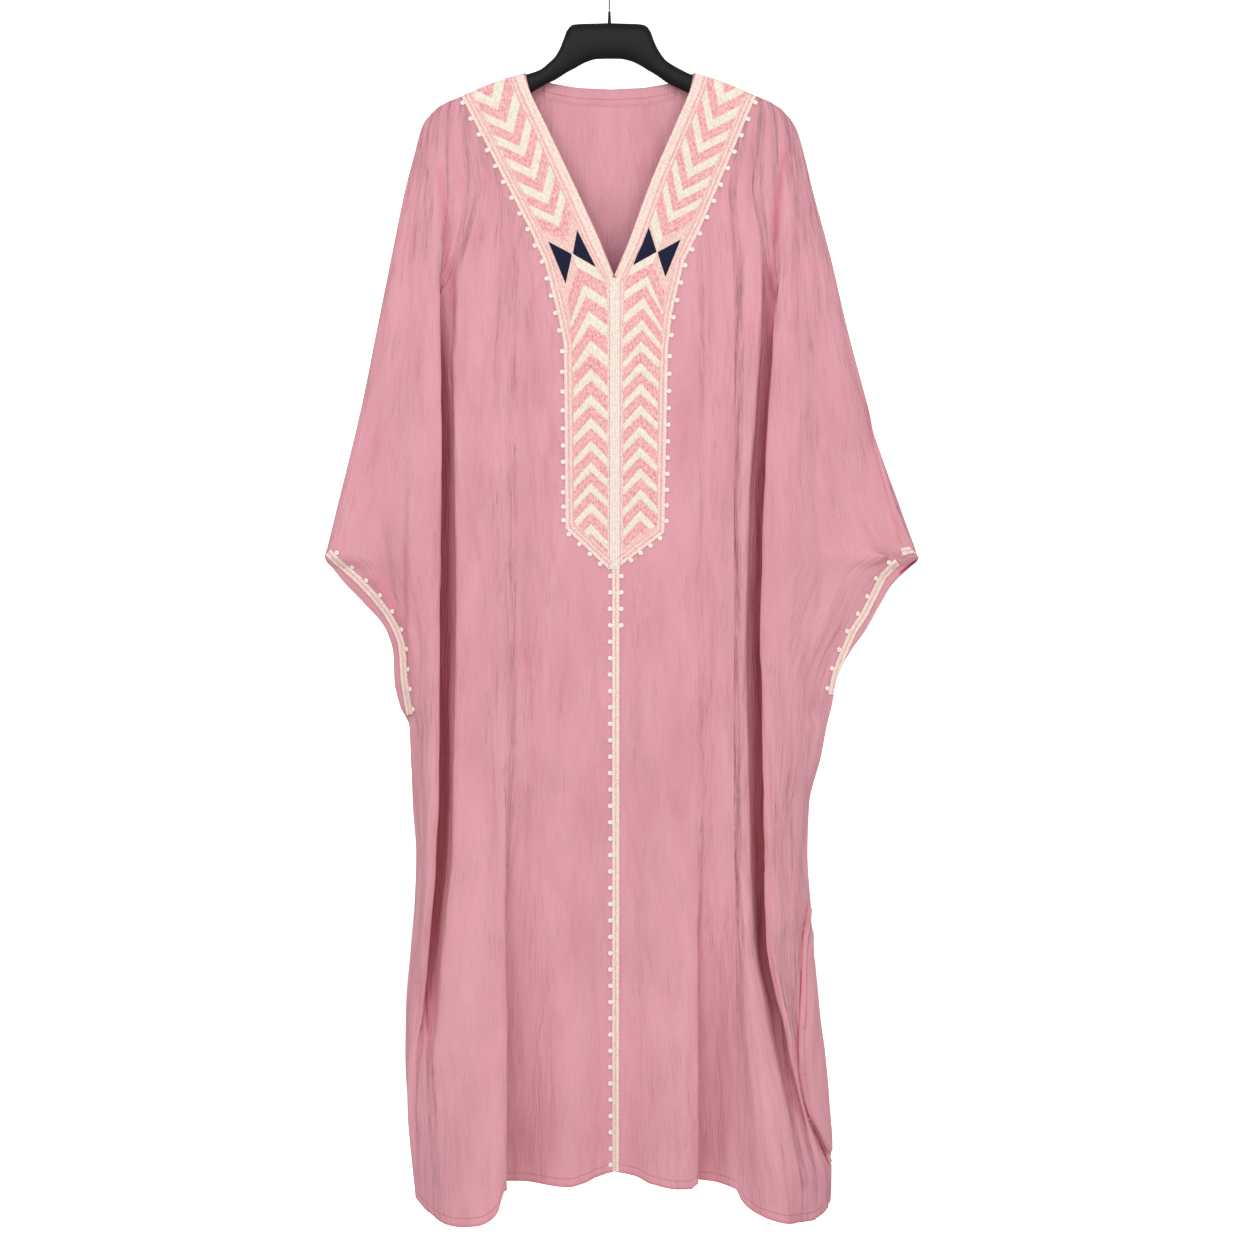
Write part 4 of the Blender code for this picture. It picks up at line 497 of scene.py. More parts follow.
# Lamps in metres and watts: name, place, where it points, width and power. The sky's strength.
LAMPS = (
    ("key", (-1.35, -3.2, 0.4), (0, 0, -0.75), 1.8, 27),
    ("fill", (1.6, -3.1, 0.0), (0, 0, -0.8), 1.8, 16),
    ("top", (0.05, -2.6, 1.1), (0, 0, -0.35), 1.0, 12),
    ("behind", (0.9, 3.3, 0.3), (0, 0, -0.75), 1.8, 14),
)
SKY = 0.74


def smooth_value(heights, values, at):
    """A curve through the table's values that never swings past them."""
    at = held(at, heights[0], heights[-1])
    gap = np.diff(heights)
    slope = np.diff(values) / gap
    tangent = np.zeros(len(values))
    tangent[0] = slope[0]
    tangent[-1] = slope[-1]
    for k in range(1, len(values) - 1):
        if slope[k - 1] * slope[k] > 0:
            before = 2 * gap[k] + gap[k - 1]
            after = gap[k] + 2 * gap[k - 1]
            tangent[k] = (before + after) / (before / slope[k - 1] + after / slope[k])
    k = held(int(np.searchsorted(heights, at)) - 1, 0, len(gap) - 1)
    t = (at - heights[k]) / gap[k]
    start = (1 + 2 * t) * (1 - t) ** 2 * values[k] + t * (1 - t) ** 2 * gap[k] * tangent[k]
    end = t * t * (3 - 2 * t) * values[k + 1] + t * t * (t - 1) * gap[k] * tangent[k + 1]
    return start + end


def row_at(columns, table, z):
    """The table's row at any height, as a dictionary of its named columns."""
    rows = np.array(sorted(table), dtype=float)
    return {name: smooth_value(rows[:, 0], rows[:, k], z) for k, name in enumerate(columns) if k}


def line_at(line, x):
    """Height of a line given by points from one side to the other."""
    points = sorted(line)
    return float(np.interp(x, [p[0] for p in points], [p[1] for p in points]))


def mix(a, b, t):
    return a + (b - a) * t


def held(value, low=0.0, high=1.0):
    return min(max(value, low), high)


def lengths(points):
    """Length along a line up to each of its points."""
    return np.concatenate([[0.0], np.cumsum(np.linalg.norm(np.diff(points, axis=0), axis=1))])


def quads(rows, columns, start=0, closed=False):
    """Corners of a grid's quads, row after row, whose rows may close into rings."""
    made = []
    for r in range(rows - 1):
        for k in range(columns if closed else columns - 1):
            a = start + r * columns + k
            b = start + r * columns + (k + 1) % columns
            made.append((a, b, b + columns, a + columns))
    return made


def smooth_curve(points, steps):
    """Points on a smooth curve through the given points, with steps[k] stretches in span k."""
    p = np.array(points, dtype=float)
    chord = np.maximum(np.linalg.norm(np.diff(p, axis=0), axis=1), 0.5)
    slope = np.diff(p, axis=0) / chord[:, None]
    tangent = np.empty_like(p)
    tangent[0] = slope[0]
    tangent[-1] = slope[-1]
    for k in range(1, len(p) - 1):
        tangent[k] = (slope[k - 1] * chord[k] + slope[k] * chord[k - 1]) / (chord[k - 1] + chord[k])
    made = [p[0]]
    for k, count in enumerate(steps):
        for n in range(1, count + 1):
            t = n / count
            start = (1 + 2 * t) * (1 - t) ** 2 * p[k] + t * (1 - t) ** 2 * chord[k] * tangent[k]
            end = t * t * (3 - 2 * t) * p[k + 1] + t * t * (t - 1) * chord[k] * tangent[k + 1]
            made.append(start + end)
    return np.array(made)


def hem_heights(named, table, steps):
    """The hem's height at each point of a section, on a smooth curve over the length along it."""
    fine = smooth_curve(named, [FINE_STEPS] * (len(named) - 1))
    length = lengths(fine)
    count = np.arange(len(length))
    stops = [float(np.interp(place * FINE_STEPS, count, length)) for place, _ in table]
    heights = [z for _, z in table]
    made = []
    for k, stretches in enumerate(steps):
        for n in range(stretches):
            at = np.interp((k + n / stretches) * FINE_STEPS, count, length)
            made.append(smooth_value(stops, heights, float(at)))
    made.append(heights[-1])
    return np.array(made)


def wing_points(wing, side, away, roll=7.0):
    """Named points of a Z fold, from the layer nearest the viewer to the centre panel's shoulder.

    side is -1 for the left wing and 1 for the right one, away is -1 at the front and 1 at the back,
    roll is how far from its edge the outer layer starts to turn.
    """
    folded = held((wing["lap"] + FOLD_OPENS) / (2 * FOLD_OPENS))
    back_x = wing["edge_x"] + side * wing["lap"]
    turn_x = back_x - side * 3
    floor_x = side * min(side * wing["edge_x"] + 2, side * turn_x - 4)
    shut = (
        (wing["edge_x"] + side * roll, wing["edge_y"]),
        (wing["edge_x"], wing["edge_y"] - away * 4),
        (mix(wing["edge_x"], back_x, 0.55), mix(wing["edge_y"], wing["deep_y"], 0.55)),
        (back_x, wing["deep_y"] + away * 5),
        (turn_x, wing["deep_y"]),
        (floor_x, wing["deep_y"] + away * 0.5),
        (wing["shoulder_x"], wing["shoulder_y"]),
    )
    made = []
    for k, (x, y) in enumerate(shut):
        share = k / (len(shut) - 1)
        made.append((mix(mix(shut[0][0], shut[-1][0], share), x, folded),
                     mix(mix(shut[0][1], shut[-1][1], share), y, folded)))
    return tuple(made)


def seam_direction(edge):
    """Direction across the right-hand seam: straight back at the outline, sideways on the front."""
    turn = min(edge["seam_in"] / 6, 1.0) * (1 - edge["open"])
    angle = math.radians(90 - 68 * turn)
    return np.array((math.cos(angle), math.sin(angle)))


def lobe_points(lobe):
    """Named points of a lobe's fold, from its crest to the next one."""
    folded = held((lobe["lap"] + LOBE_OPENS) / (2 * LOBE_OPENS))
    return (
        (lobe["crest_x"], lobe["crest_y"]),
        (lobe["edge_x"] - 7, lobe["edge_y"]),
        (lobe["edge_x"], lobe["edge_y"] + 3 * folded),
        (lobe["edge_x"] - lobe["lap"], lobe["deep_y"]),
        (lobe["floor_x"], lobe["floor_y"]),
        (lobe["next_x"], lobe["next_y"]),
    )


def front_left(z):
    edge = row_at(OUTLINE_COLUMNS, OUTLINE, z)
    wing = row_at(WING_COLUMNS, LEFT_WING, z)
    lobe = row_at(LOBE_COLUMNS, LEFT_LOBE, z)
    neck = row_at(NECK_COLUMNS, NECK_EDGES, z)
    x = edge["left"]
    fold = wing_points(wing, -1, -1)
    belly_x = mix(x, fold[0][0], 0.5)
    return (
        (x, -edge["part"]),
        (x + 0.6 + 5 * edge["open"], -edge["part"] - 4 + 3 * edge["open"]),
        (belly_x, wing["belly_y"]),
        *fold,
        *lobe_points(lobe),
        (neck["left"], lobe["centre_y"]),
    )


def front_right(z):
    edge = row_at(OUTLINE_COLUMNS, OUTLINE, z)
    wing = row_at(WING_COLUMNS, RIGHT_WING, z)
    lobe = row_at(LOBE_COLUMNS, RIGHT_LOBE, z)
    crest = row_at(CREST_COLUMNS, RIGHT_CREST, z)
    neck = row_at(NECK_COLUMNS, NECK_EDGES, z)
    across = seam_direction(edge)
    seam = np.array((edge["right"] - edge["seam_in"], edge["seam_y"] * (1 - edge["open"])))
    end = seam - across * edge["part"]
    rim = end - across * 4 - np.array((1 + 5 * edge["open"], -3 * edge["open"]))
    fold = wing_points(wing, 1, -1, min(7.0, (rim[0] - wing["edge_x"]) * 0.4))[::-1]
    belly_x = mix(fold[-1][0], rim[0], 0.5)
    wide = held((rim[0] - fold[-1][0]) / 40)
    belly_y = mix(mix(fold[-1][1], rim[1], 0.5), wing["belly_y"], wide)
    return (
        (neck["right"], lobe["centre_y"]),
        *lobe_points(lobe),
        (crest["x"], crest["y"]),
        *fold,
        (belly_x, belly_y),
        tuple(rim),
        tuple(end),
    )


def back_section(z):
    edge = row_at(OUTLINE_COLUMNS, OUTLINE, z)
    right = row_at(WING_COLUMNS, BACK_RIGHT, z)
    left = row_at(WING_COLUMNS, BACK_LEFT, z)
    wave = row_at(BACK_WAVE_COLUMNS, BACK_WAVES, z)
    across = seam_direction(edge)
    turn = min(edge["back_in"] / 6, 1.0) * (1 - edge["open"])
    outer = edge["right"]
    seam = np.array((outer - edge["back_in"], edge["seam_y"] * min(edge["back_in"], 1.0)))
    start = seam + across * edge["part"]
    closed_rim = start + np.array((-0.6 - 5 * edge["open"], 4 - 3 * edge["open"]))
    rim = mix(closed_rim, start + across * 4, turn)
    shut_bend = np.array((outer - 3, edge["part"] + 9))
    open_bend = np.array((outer - 15, edge["part"] + 4.5))
    bend = mix(mix(shut_bend, open_bend, edge["open"]), np.array((outer, 5.0)), turn)
    right_fold = wing_points(right, 1, 1)
    left_fold = wing_points(left, -1, 1)[::-1]
    left_x = edge["left"]
    return (
        tuple(start),
        tuple(rim),
        tuple(bend),
        (mix(outer, right_fold[0][0], 0.5), right["belly_y"]),
        *right_fold,
        *((wave[f"x{k}"], wave[f"y{k}"]) for k in range(1, 8)),
        *left_fold,
        (mix(left_x, left_fold[-1][0], 0.5), left["belly_y"]),
        (left_x + 0.6 + 5 * edge["open"], edge["part"] + 4 - 3 * edge["open"]),
        (left_x, edge["part"]),
    )


def rounded(distance, reach):
    """How far a surface has come out of a rounded edge, from 0 at the edge to 1."""
    t = held(distance / reach)
    return math.sqrt(1 - (1 - t) ** 2)


def noise(seed, u, v, cell_u, cell_v):
    """Smooth seeded noise from -1 to 1 over u and v, its lumps cell_u by cell_v."""
    lattice = np.random.default_rng(seed).uniform(-1, 1, (257, 257))
    a = u / cell_u + 1000.0
    b = v / cell_v + 1000.0
    i = np.floor(a).astype(int)
    j = np.floor(b).astype(int)
    s = a - i
    t = b - j
    s = s * s * (3 - 2 * s)
    t = t * t * (3 - 2 * t)
    i0, i1, j0, j1 = i % 257, (i + 1) % 257, j % 257, (j + 1) % 257
    low = lattice[i0, j0] * (1 - s) + lattice[i1, j0] * s
    high = lattice[i0, j1] * (1 - s) + lattice[i1, j1] * s
    return low * (1 - t) + high * t


def span_steps(section_at, heights):
    """Stretches of each span, so that columns are about COLUMN_PITCH apart."""
    longest = None
    for z in heights:
        points = np.array(section_at(z))
        spans = np.linalg.norm(np.diff(points, axis=0), axis=1)
        longest = spans if longest is None else np.maximum(longest, spans)
    return [max(1, round(s / COLUMN_PITCH)) for s in longest]


def top_part(section, start, end, top_line, edge_x, neck_x, free_neck=0.0):
    """Rows from the shoulder line down to the first level section."""
    made = []
    span = section[-1, 0] - section[0, 0]
    for share in TOP_SHARES:
        z_start = mix(start[1], YOKE_LINE, share)
        z_end = mix(end[1], YOKE_LINE, share)
        row = []
        for x_low, y_low in section:
            f = (x_low - section[0, 0]) / span
            x_top = mix(start[0], end[0], f)
            x = mix(edge_x(z_start), neck_x(z_end), f)
            z_top = line_at(top_line, x_top)
            z = mix(z_top, YOKE_LINE, share)
            depth = abs(y_low)
            side = min(f, 1 - f) if free_neck else f
            arm = ARM_DEPTH * rounded(side, 0.08)
            full = mix(arm, depth, share)
            y = TOP_GAP + (full - TOP_GAP) * rounded(z_top - z, ARM_ROUND)
            inside_neck = min(x_top - NECK_LEFT[0], NECK_RIGHT[0] - x_top)
            if free_neck and inside_neck > 0:
                neck_y = mix(free_neck * rounded(inside_neck, FREE_NECK_REACH), depth, share)
                y = max(y, neck_y)
            row.append((x, math.copysign(y, y_low), z))
        made.append(row)
    return np.array(made)


def level_part(section_at, steps, heights):
    return np.array([[(x, y, z) for x, y in smooth_curve(section_at(z), steps)] for z in heights])


def evened(levels, side):
    """The level rows with the sleeve's outer layer evened out in depth around its tip."""
    sign = 1 if side == "right" else -1
    ordered = levels if side == "right" else levels[:, ::-1]
    x = ordered[:, :, 0] * sign
    y = ordered[:, :, 1]
    z = ordered[:, 0, 2]
    falls = np.where(np.diff(x, axis=1) <= 0, np.arange(x.shape[1] - 1)[None, :], 0)
    falls[:, -6:] = 0
    first = falls.max() + 2
    last = x.shape[1] - 5
    window = np.abs(z - TIP_LEVEL) < TIP_REACH
    places = np.arange(190.0, 372.0, 3.0)
    depth = np.array([np.interp(places, x[r, first:last], y[r, first:last]) for r in range(len(x))])
    weights = np.exp(-((z[:, None] - z[None, :]) / 30.0) ** 2)
    depth = weights @ depth / weights.sum(axis=1)[:, None]
    made = ordered.copy()
    for r in np.flatnonzero(window):
        rim = x[r, last]
        here = x[r, first:last]
        share = np.clip((rim - here) / 15, 0, 1) * np.clip((here - 195) / 40, 0, 1)
        share *= np.clip(1.8 - abs(z[r] - TIP_LEVEL) / 80, 0, 1)
        made[r, first:last, 1] = y[r, first:last] * (1 - share) + np.interp(here, places, depth[r]) * share
    return made if side == "right" else made[:, ::-1]


def hem_part(levels, heights, hem):
    """Rows from HEM_START to the hem, its height given for each column."""
    rows = []
    shares = [k / HEM_SHARES for k in range(1, HEM_SHARES)]
    order = heights[::-1]
    targets = [[mix(HEM_START, low + HEM_EDGE[0] + 1.5, share) for low in hem] for share in shares]
    targets += [[low + rise for low in hem] for rise in HEM_EDGE]
    for wanted in targets:
        row = []
        for k, z in enumerate(wanted):
            column = levels[::-1, k]
            row.append((np.interp(z, order, column[:, 0]), np.interp(z, order, column[:, 1]), z))
        rows.append(row)
    return np.array(rows)


def grid_normals(grid):
    down = np.gradient(grid, axis=0)
    across = np.gradient(grid, axis=1)
    normal = np.cross(down, across)
    length = np.linalg.norm(normal, axis=2, keepdims=True)
    return normal / np.maximum(length, 1e-9)


def distance_and_share(x, z, line):
    """Distance of grid points from a line in x, z and how far along it they are, 0 to 1."""
    best = np.full(x.shape, 1e9)
    share = np.zeros(x.shape)
    total = sum(math.dist(a, b) for a, b in zip(line, line[1:]))
    travelled = 0.0
    for a, b in zip(line, line[1:]):
        length = math.dist(a, b)
        wx, wz = (b[0] - a[0]) / length, (b[1] - a[1]) / length
        t = np.clip((x - a[0]) * wx + (z - a[1]) * wz, 0, length)
        d = np.hypot(x - a[0] - wx * t, z - a[1] - wz * t)
        nearer = d < best
        best = np.where(nearer, d, best)
        share = np.where(nearer, (travelled + t) / total, share)
        travelled += length
    return best, share


def inside(outline, x, z):
    """Whether points lie inside an outline in x, z."""
    hits = np.zeros(np.shape(x), dtype=int)
    for (x0, z0), (x1, z1) in zip(outline, outline[1:] + outline[:1]):
        if z0 != z1:
            crosses = ((z0 > z) != (z1 > z)) & (x < x0 + (z - z0) * (x1 - x0) / (z1 - z0))
            hits += crosses
    return hits % 2 == 1


def flat_zones(away):
    """Outlines of what is sewn on one side: the cloth under it is smooth."""
    zones = []
    if away < 0:
        for shape in YOKES.values():
            zones.append(list(shape["outer"]) + list(shape["inner_low"])[::-1] + list(shape["inner"])[::-1])
        left, right = BRAID_LINES[0][0], BRAID_LINES[-1][1]
        zones.append([(left, -340), (left, BRAID_ENDS[1]), (right, BRAID_ENDS[1]), (right, -340)])
    for line in CUFFS.values():
        for a, b in zip(line, line[1:]):
            way = np.array((b[0] - a[0], b[1] - a[1])) / math.dist(a, b)
            across = np.array((-way[1], way[0])) * 5
            zones.append([tuple(np.array(a) + across), tuple(np.array(b) + across),
                          tuple(np.array(b) - across), tuple(np.array(a) - across)])
    return zones


def crinkled(grid, away, creases, seed):
    """The grid with its creases and the crepe's fine upright crinkle, smooth under what is sewn on, and the
    painted shade of its troughs.
    """
    normal = grid_normals(grid)
    x, z = grid[:, :, 0], grid[:, :, 2]
    u = column_places(grid)
    often = np.clip(0.3 + 1.6 * noise(seed + 5, u, z, 44, 95), 0, 1)
    often_fine = np.clip(0.35 + 1.6 * noise(seed + 6, u, z, 30, 60), 0, 1)
    sway = 7 * noise(seed + 9, u, z, 34, 48)
    move = 0.8 * often_fine * noise(seed, u + sway, z, 7.5, 38)
    move += 0.8 * noise(seed + 1, u + sway, z, 17, 90)
    move += 1.4 * noise(seed + 2, u, z, 46, 190)
    wander = noise(seed + 3, u + 9 * noise(seed + 4, u, z, 40, 46), z, 17, 95)
    move -= 1.2 * often * np.exp(-(wander / 0.13) ** 2)
    # Painted shade in the troughs of the crinkle's wandering creases.
    painted_trough_shade = TROUGH_SHADE * often * np.exp(-(wander / 0.16) ** 2)
    slack = np.clip((YOKE_LINE + 60 - z) / 120, 0.35, 1.0)
    move *= slack
    turning = np.exp(-((z - TIP_LEVEL) / 26) ** 2) * np.clip((x - 215) / 40, 0, 1)
    move *= 1 - 0.9 * turning
    for row, _ in HEM_SHADES[:1]:
        move[row] -= 0.7
    facing = np.clip(-normal[:, :, 1] * -away * 2.0, 0, 1)
    for depth, half, line in creases:
        distance, share = distance_and_share(x, z, line)
        fade = np.clip(4 * share, 0, 1) * np.clip(4 * (1 - share), 0, 1)
        move -= depth * fade * facing * np.exp(-(distance / half) ** 2)
    free = np.ones(x.shape)
    for zone in flat_zones(away):
        distance, _ = distance_and_share(x, z, zone + zone[:1])
        apart = np.where(inside(zone, x, z), 0, distance)
        free = np.minimum(free, np.clip((apart - 1.0) / 9.0, 0, 1))
    edge = np.minimum(np.arange(x.shape[1])[None, :], np.arange(x.shape[1])[::-1][None, :])
    free = free * np.clip(edge / 5, 0, 1)
    free[0:1] = 0
    move *= free
    return grid + normal * move[:, :, None], painted_trough_shade * free


def column_places(grid):
    """Length along the cloth's widest row for each point, the same all down a column."""
    steps = np.linalg.norm(np.diff(grid, axis=1), axis=2).max(axis=0)
    places = np.concatenate([[0.0], np.cumsum(np.minimum(steps, 2 * COLUMN_PITCH))])
    return np.broadcast_to(places[None, :], grid.shape[:2])


class Shell:
    """Vertices and quads of a thin cloth, made from blocks of rows."""

    def __init__(self):
        self.points = []
        self.uvs = []
        self.shade = []
        self.quads = []
        self.found = {}

    def add(self, point, uv, shade):
        key = tuple(np.round(point, 3))
        if key not in self.found:
            self.found[key] = len(self.points)
            self.points.append(point)
            self.uvs.append(uv)
            self.shade.append(shade)
        return self.found[key]

    def block(self, grid, u, shade=None):
        if shade is None:
            shade = np.zeros(grid.shape[:2])
        index = []
        for r, row in enumerate(grid):
            index.append([self.add(p, (u[r, k], p[2]), shade[r, k]) for k, p in enumerate(row)])
        for upper, lower in zip(index, index[1:]):
            for k in range(len(upper) - 1):
                corners = []
                for c in (upper[k], lower[k], lower[k + 1], upper[k + 1]):
                    if c not in corners:
                        corners.append(c)
                if len(corners) > 2:
                    self.quads.append(tuple(corners))
        return index


def turned_edge(grid, normal):
    """Rows that turn the grid's last row back inside, as a hem."""
    step = np.linalg.norm(np.diff(grid[::-1], axis=0), axis=2)
    back = np.concatenate([np.zeros((1, grid.shape[1])), np.cumsum(step, axis=0)])
    outward = grid[-1] - grid[-2]
    outward /= np.maximum(np.linalg.norm(outward, axis=1, keepdims=True), 1e-9)
    inward = -normal[-1]
    rows = [grid[-1] + outward * 0.45 + inward * TURNED_INSIDE * 0.5]
    for distance in TURNED:
        row = []
        for k in range(grid.shape[1]):
            r = min(int(np.searchsorted(back[:, k], distance)), grid.shape[0] - 1)
            r0 = max(r - 1, 0)
            gap = back[r, k] - back[r0, k]
            t = (distance - back[r0, k]) / gap if gap > 1e-9 else 0.0
            here = grid[::-1][r0, k] * (1 - t) + grid[::-1][r, k] * t
            way = normal[::-1][r0, k] * (1 - t) + normal[::-1][r, k] * t
            row.append(here - way * TURNED_INSIDE)
        rows.append(row)
    return np.array(rows)


def mesh_object(name, vertices, faces, looks, uvs=None, slots=None, sharp=60, shade=None):
    """An object from vertices in millimetres, with a material for each face if slots are given."""
    mesh = bpy.data.meshes.new(name)
    mesh.from_pydata([((x + CENTRE_LINE_X) * MM, y * MM, z * MM) for x, y, z in vertices], [], faces)
    for look in looks:
        mesh.materials.append(look)
    if slots is not None:
        mesh.polygons.foreach_set("material_index", slots)
    if uvs is not None:
        layer = mesh.uv_layers.new(name="thread")
        corner_vertex = np.empty(len(mesh.loops), dtype=np.int64)
        mesh.loops.foreach_get("vertex_index", corner_vertex)
        layer.data.foreach_set("uv", np.array(uvs)[corner_vertex].ravel())
    # Painted shade at each point, which the crepe's colour turns into darker tints.
    if shade is not None:
        kept = mesh.attributes.new("painted_shade", "FLOAT", "POINT")
        kept.data.foreach_set("value", np.array(shade, dtype=np.float32))
    mesh.update()
    made = bpy.data.objects.new(name, mesh)
    bpy.context.scene.collection.objects.link(made)
    mesh.shade_smooth()
    mesh.set_sharp_from_angle(angle=math.radians(sharp))
    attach(made, "root")
    return made


def level_heights():
    count = round((YOKE_LINE + 1490) / ROW_PITCH)
    return [mix(YOKE_LINE, -1490.0, k / count) for k in range(count + 1)]


def fold_shade(steps, grid, edge, shoulder):
    """How much painted shade each point gets in the recess beside the wing, between two named places of its
    rows.
    """
    column = np.arange(grid.shape[1])
    from_edge = abs(column - sum(steps[:edge]))
    from_shoulder = (column - sum(steps[:shoulder])) * (1 if edge > shoulder else -1)
    span = abs(sum(steps[:edge]) - sum(steps[:shoulder]))
    within = (column - sum(steps[:edge])) * (1 if shoulder > edge else -1) > 0
    across = within * np.clip(from_edge / 2, 0, 1) * np.clip(from_shoulder / (0.4 * span), 0, 1)
    z = grid[:, :, 2]
    along = np.clip((-360 - z) / 140, 0, 1) * np.clip((z + 1330) / 200, 0, 1)
    return across[None, :] * along


def line_shade(grid, lines):
    """Painted shade along fine seams and fold lines, where the grid faces the viewer."""
    x, z = grid[:, :, 0], grid[:, :, 2]
    facing = np.clip(-2 * grid_normals(grid)[:, :, 1], 0, 1)
    shade = np.zeros(x.shape)
    for dark, half, line in lines:
        distance, _ = distance_and_share(x, z, line)
        shade = np.maximum(shade, dark * facing * np.exp(-(distance / half) ** 2))
    return shade


def hem_shade(shade):
    """Adds painted shade along the hem's stitched line and at its edge to the last rows' shade."""
    for row, dark in HEM_SHADES:
        shade[row] = np.maximum(shade[row], dark)
    return shade


def felled_seam(cloth):
    """The flat-felled seam as a grid laid on the cloth, and its painted shade."""
    path = dense(FELLED_SEAM, 4.0)
    grid = []
    for share, lift, _ in FELLED_LIFTS:
        side = offset_line(path, -share * FELLED_HALF)
        grid.append([cloth.over(x, z, lift) for x, z in side])
    shade = np.repeat([[dark for _, _, dark in FELLED_LIFTS]], len(path), axis=0)
    grid = np.array(grid).transpose(1, 0, 2)
    middle = grid[:, FELLED_MIDDLE:FELLED_MIDDLE + 1, 1]
    grid[:, :, 1] = np.minimum(grid[:, :, 1], middle + FELLED_DROP)
    return grid[:, ::-1], shade[:, ::-1]


def side_line(columns, table, name):
    """One named column of a table as a function of the height."""
    return lambda z: row_at(columns, table, z)[name]


def front_cloth():
    """The whole front as one grid, the number of its left half's columns, and its painted shade."""
    heights = level_heights()
    trial = [-400, -700, -1000, -1300, -1450]
    halves = []
    shades = []
    for section_at, hem, side, corners in (
            (front_left, HEM_LEFT, "left", (SHOULDER_LEFT, NECK_LEFT, SHOULDER_LEFT_LINE)),
            (front_right, HEM_RIGHT, "right", (SHOULDER_RIGHT, NECK_RIGHT, SHOULDER_RIGHT_LINE))):
        steps = span_steps(section_at, trial)
        levels = evened(level_part(section_at, steps, heights), side)
        turn = 1 if side == "left" else -1
        top = top_part(levels[0][::turn, :2], *corners, side_line(OUTLINE_COLUMNS, OUTLINE, side),
                       side_line(NECK_COLUMNS, NECK_EDGES, side))[:, ::turn]
        kept = [k for k, z in enumerate(heights) if z > HEM_START]
        low = hem_part(levels, heights, hem_heights(section_at(HEM_LEVEL), hem, steps))
        halves.append(np.concatenate([top, levels[kept], low]))
        edge, shoulder = (4, 9) if side == "left" else (len(steps) - 4, len(steps) - 9)
        shades.append(hem_shade(fold_shade(steps, halves[-1], edge, shoulder)))
    left, right = halves
    whole = np.concatenate([left, right], axis=1)
    whole, painted_trough_shade = crinkled(whole, -1, FRONT_CREASES, SEED)
    count = left.shape[1]
    split = max(r for r in range(len(whole)) if whole[r, count - 1, 0] < whole[r, count, 0] - 0.01) + 1
    middle = (whole[split:, count - 1] + whole[split:, count]) / 2
    whole[split:, count - 1] = middle
    whole[split:, count] = middle
    shade = np.maximum(np.concatenate(shades, axis=1), line_shade(whole, PAINTED_SHADE_LINES))
    nook = inside(NOOK, whole[:, :, 0], whole[:, :, 2]) & (grid_normals(whole)[:, :, 1] < 0)
    shade = np.maximum(shade, painted_trough_shade)
    # Painted shade: the nook takes the darkest painted tint.
    shade = np.where(nook, NOOK_SHADE, shade)
    return whole, count, shade


def back_cloth_grid():
    heights = level_heights()
    steps = span_steps(back_section, [-400, -700, -1000, -1300, -1430])
    levels = level_part(back_section, steps, heights)
    top_line = SHOULDER_LEFT_LINE[:-1] + BACK_NECK_LINE + SHOULDER_RIGHT_LINE[-2::-1]
    sides = [side_line(OUTLINE_COLUMNS, OUTLINE, side) for side in ("right", "left")]
    top = top_part(levels[0][:, :2], SHOULDER_RIGHT, SHOULDER_LEFT, top_line, *sides, FREE_NECK_DEPTH)
    level, wave, pitch = BACK_HEM
    kept = [k for k, z in enumerate(heights) if z > HEM_START]
    hem = [level - wave * math.sin(p[0] * pitch) for p in levels[-1]]
    low = hem_part(levels, heights, hem)
    return crinkled(np.concatenate([top, levels[kept], low]), 1, BACK_CREASES, SEED + 20)


class Cloth:
    """One side of a cloth, on which bands are laid by looking straight at it."""

    def __init__(self, blocks, away):
        points = []
        normals = []
        faces = []
        for grid in blocks:
            start = len(points)
            rows, columns = grid.shape[:2]
            points.extend(grid.reshape(-1, 3))
            normals.extend(grid_normals(grid).reshape(-1, 3))
            for a, b, c, d in quads(rows, columns, start):
                faces += [(a, d, c), (a, c, b)]
        self.points = [Vector(p) for p in points]
        self.normals = [Vector(n) for n in normals]
        self.faces = faces
        self.away = away
        self.tree = BVHTree.FromPolygons(self.points, faces)

    def at(self, x, z):
        start = Vector((x, self.away * 500, z))
        hit, _, face, _ = self.tree.ray_cast(start, Vector((0, -self.away, 0)))
        if hit is None:
            hit, _, face, _ = self.tree.find_nearest(Vector((x, self.away * 8, z)))
        a, b, c = (self.points[k] for k in self.faces[face])
        whole = (b - a).cross(c - a)
        share_a = (b - hit).cross(c - hit).dot(whole) / whole.dot(whole)
        share_b = (c - hit).cross(a - hit).dot(whole) / whole.dot(whole)
        normal = Vector((0, 0, 0))
        for k, weight in zip(self.faces[face], (share_a, share_b, 1 - share_a - share_b)):
            normal += self.normals[k] * weight
        return hit, normal.normalized()

    def over(self, x, z, lift):
        hit, normal = self.at(x, z)
        return hit + normal * lift


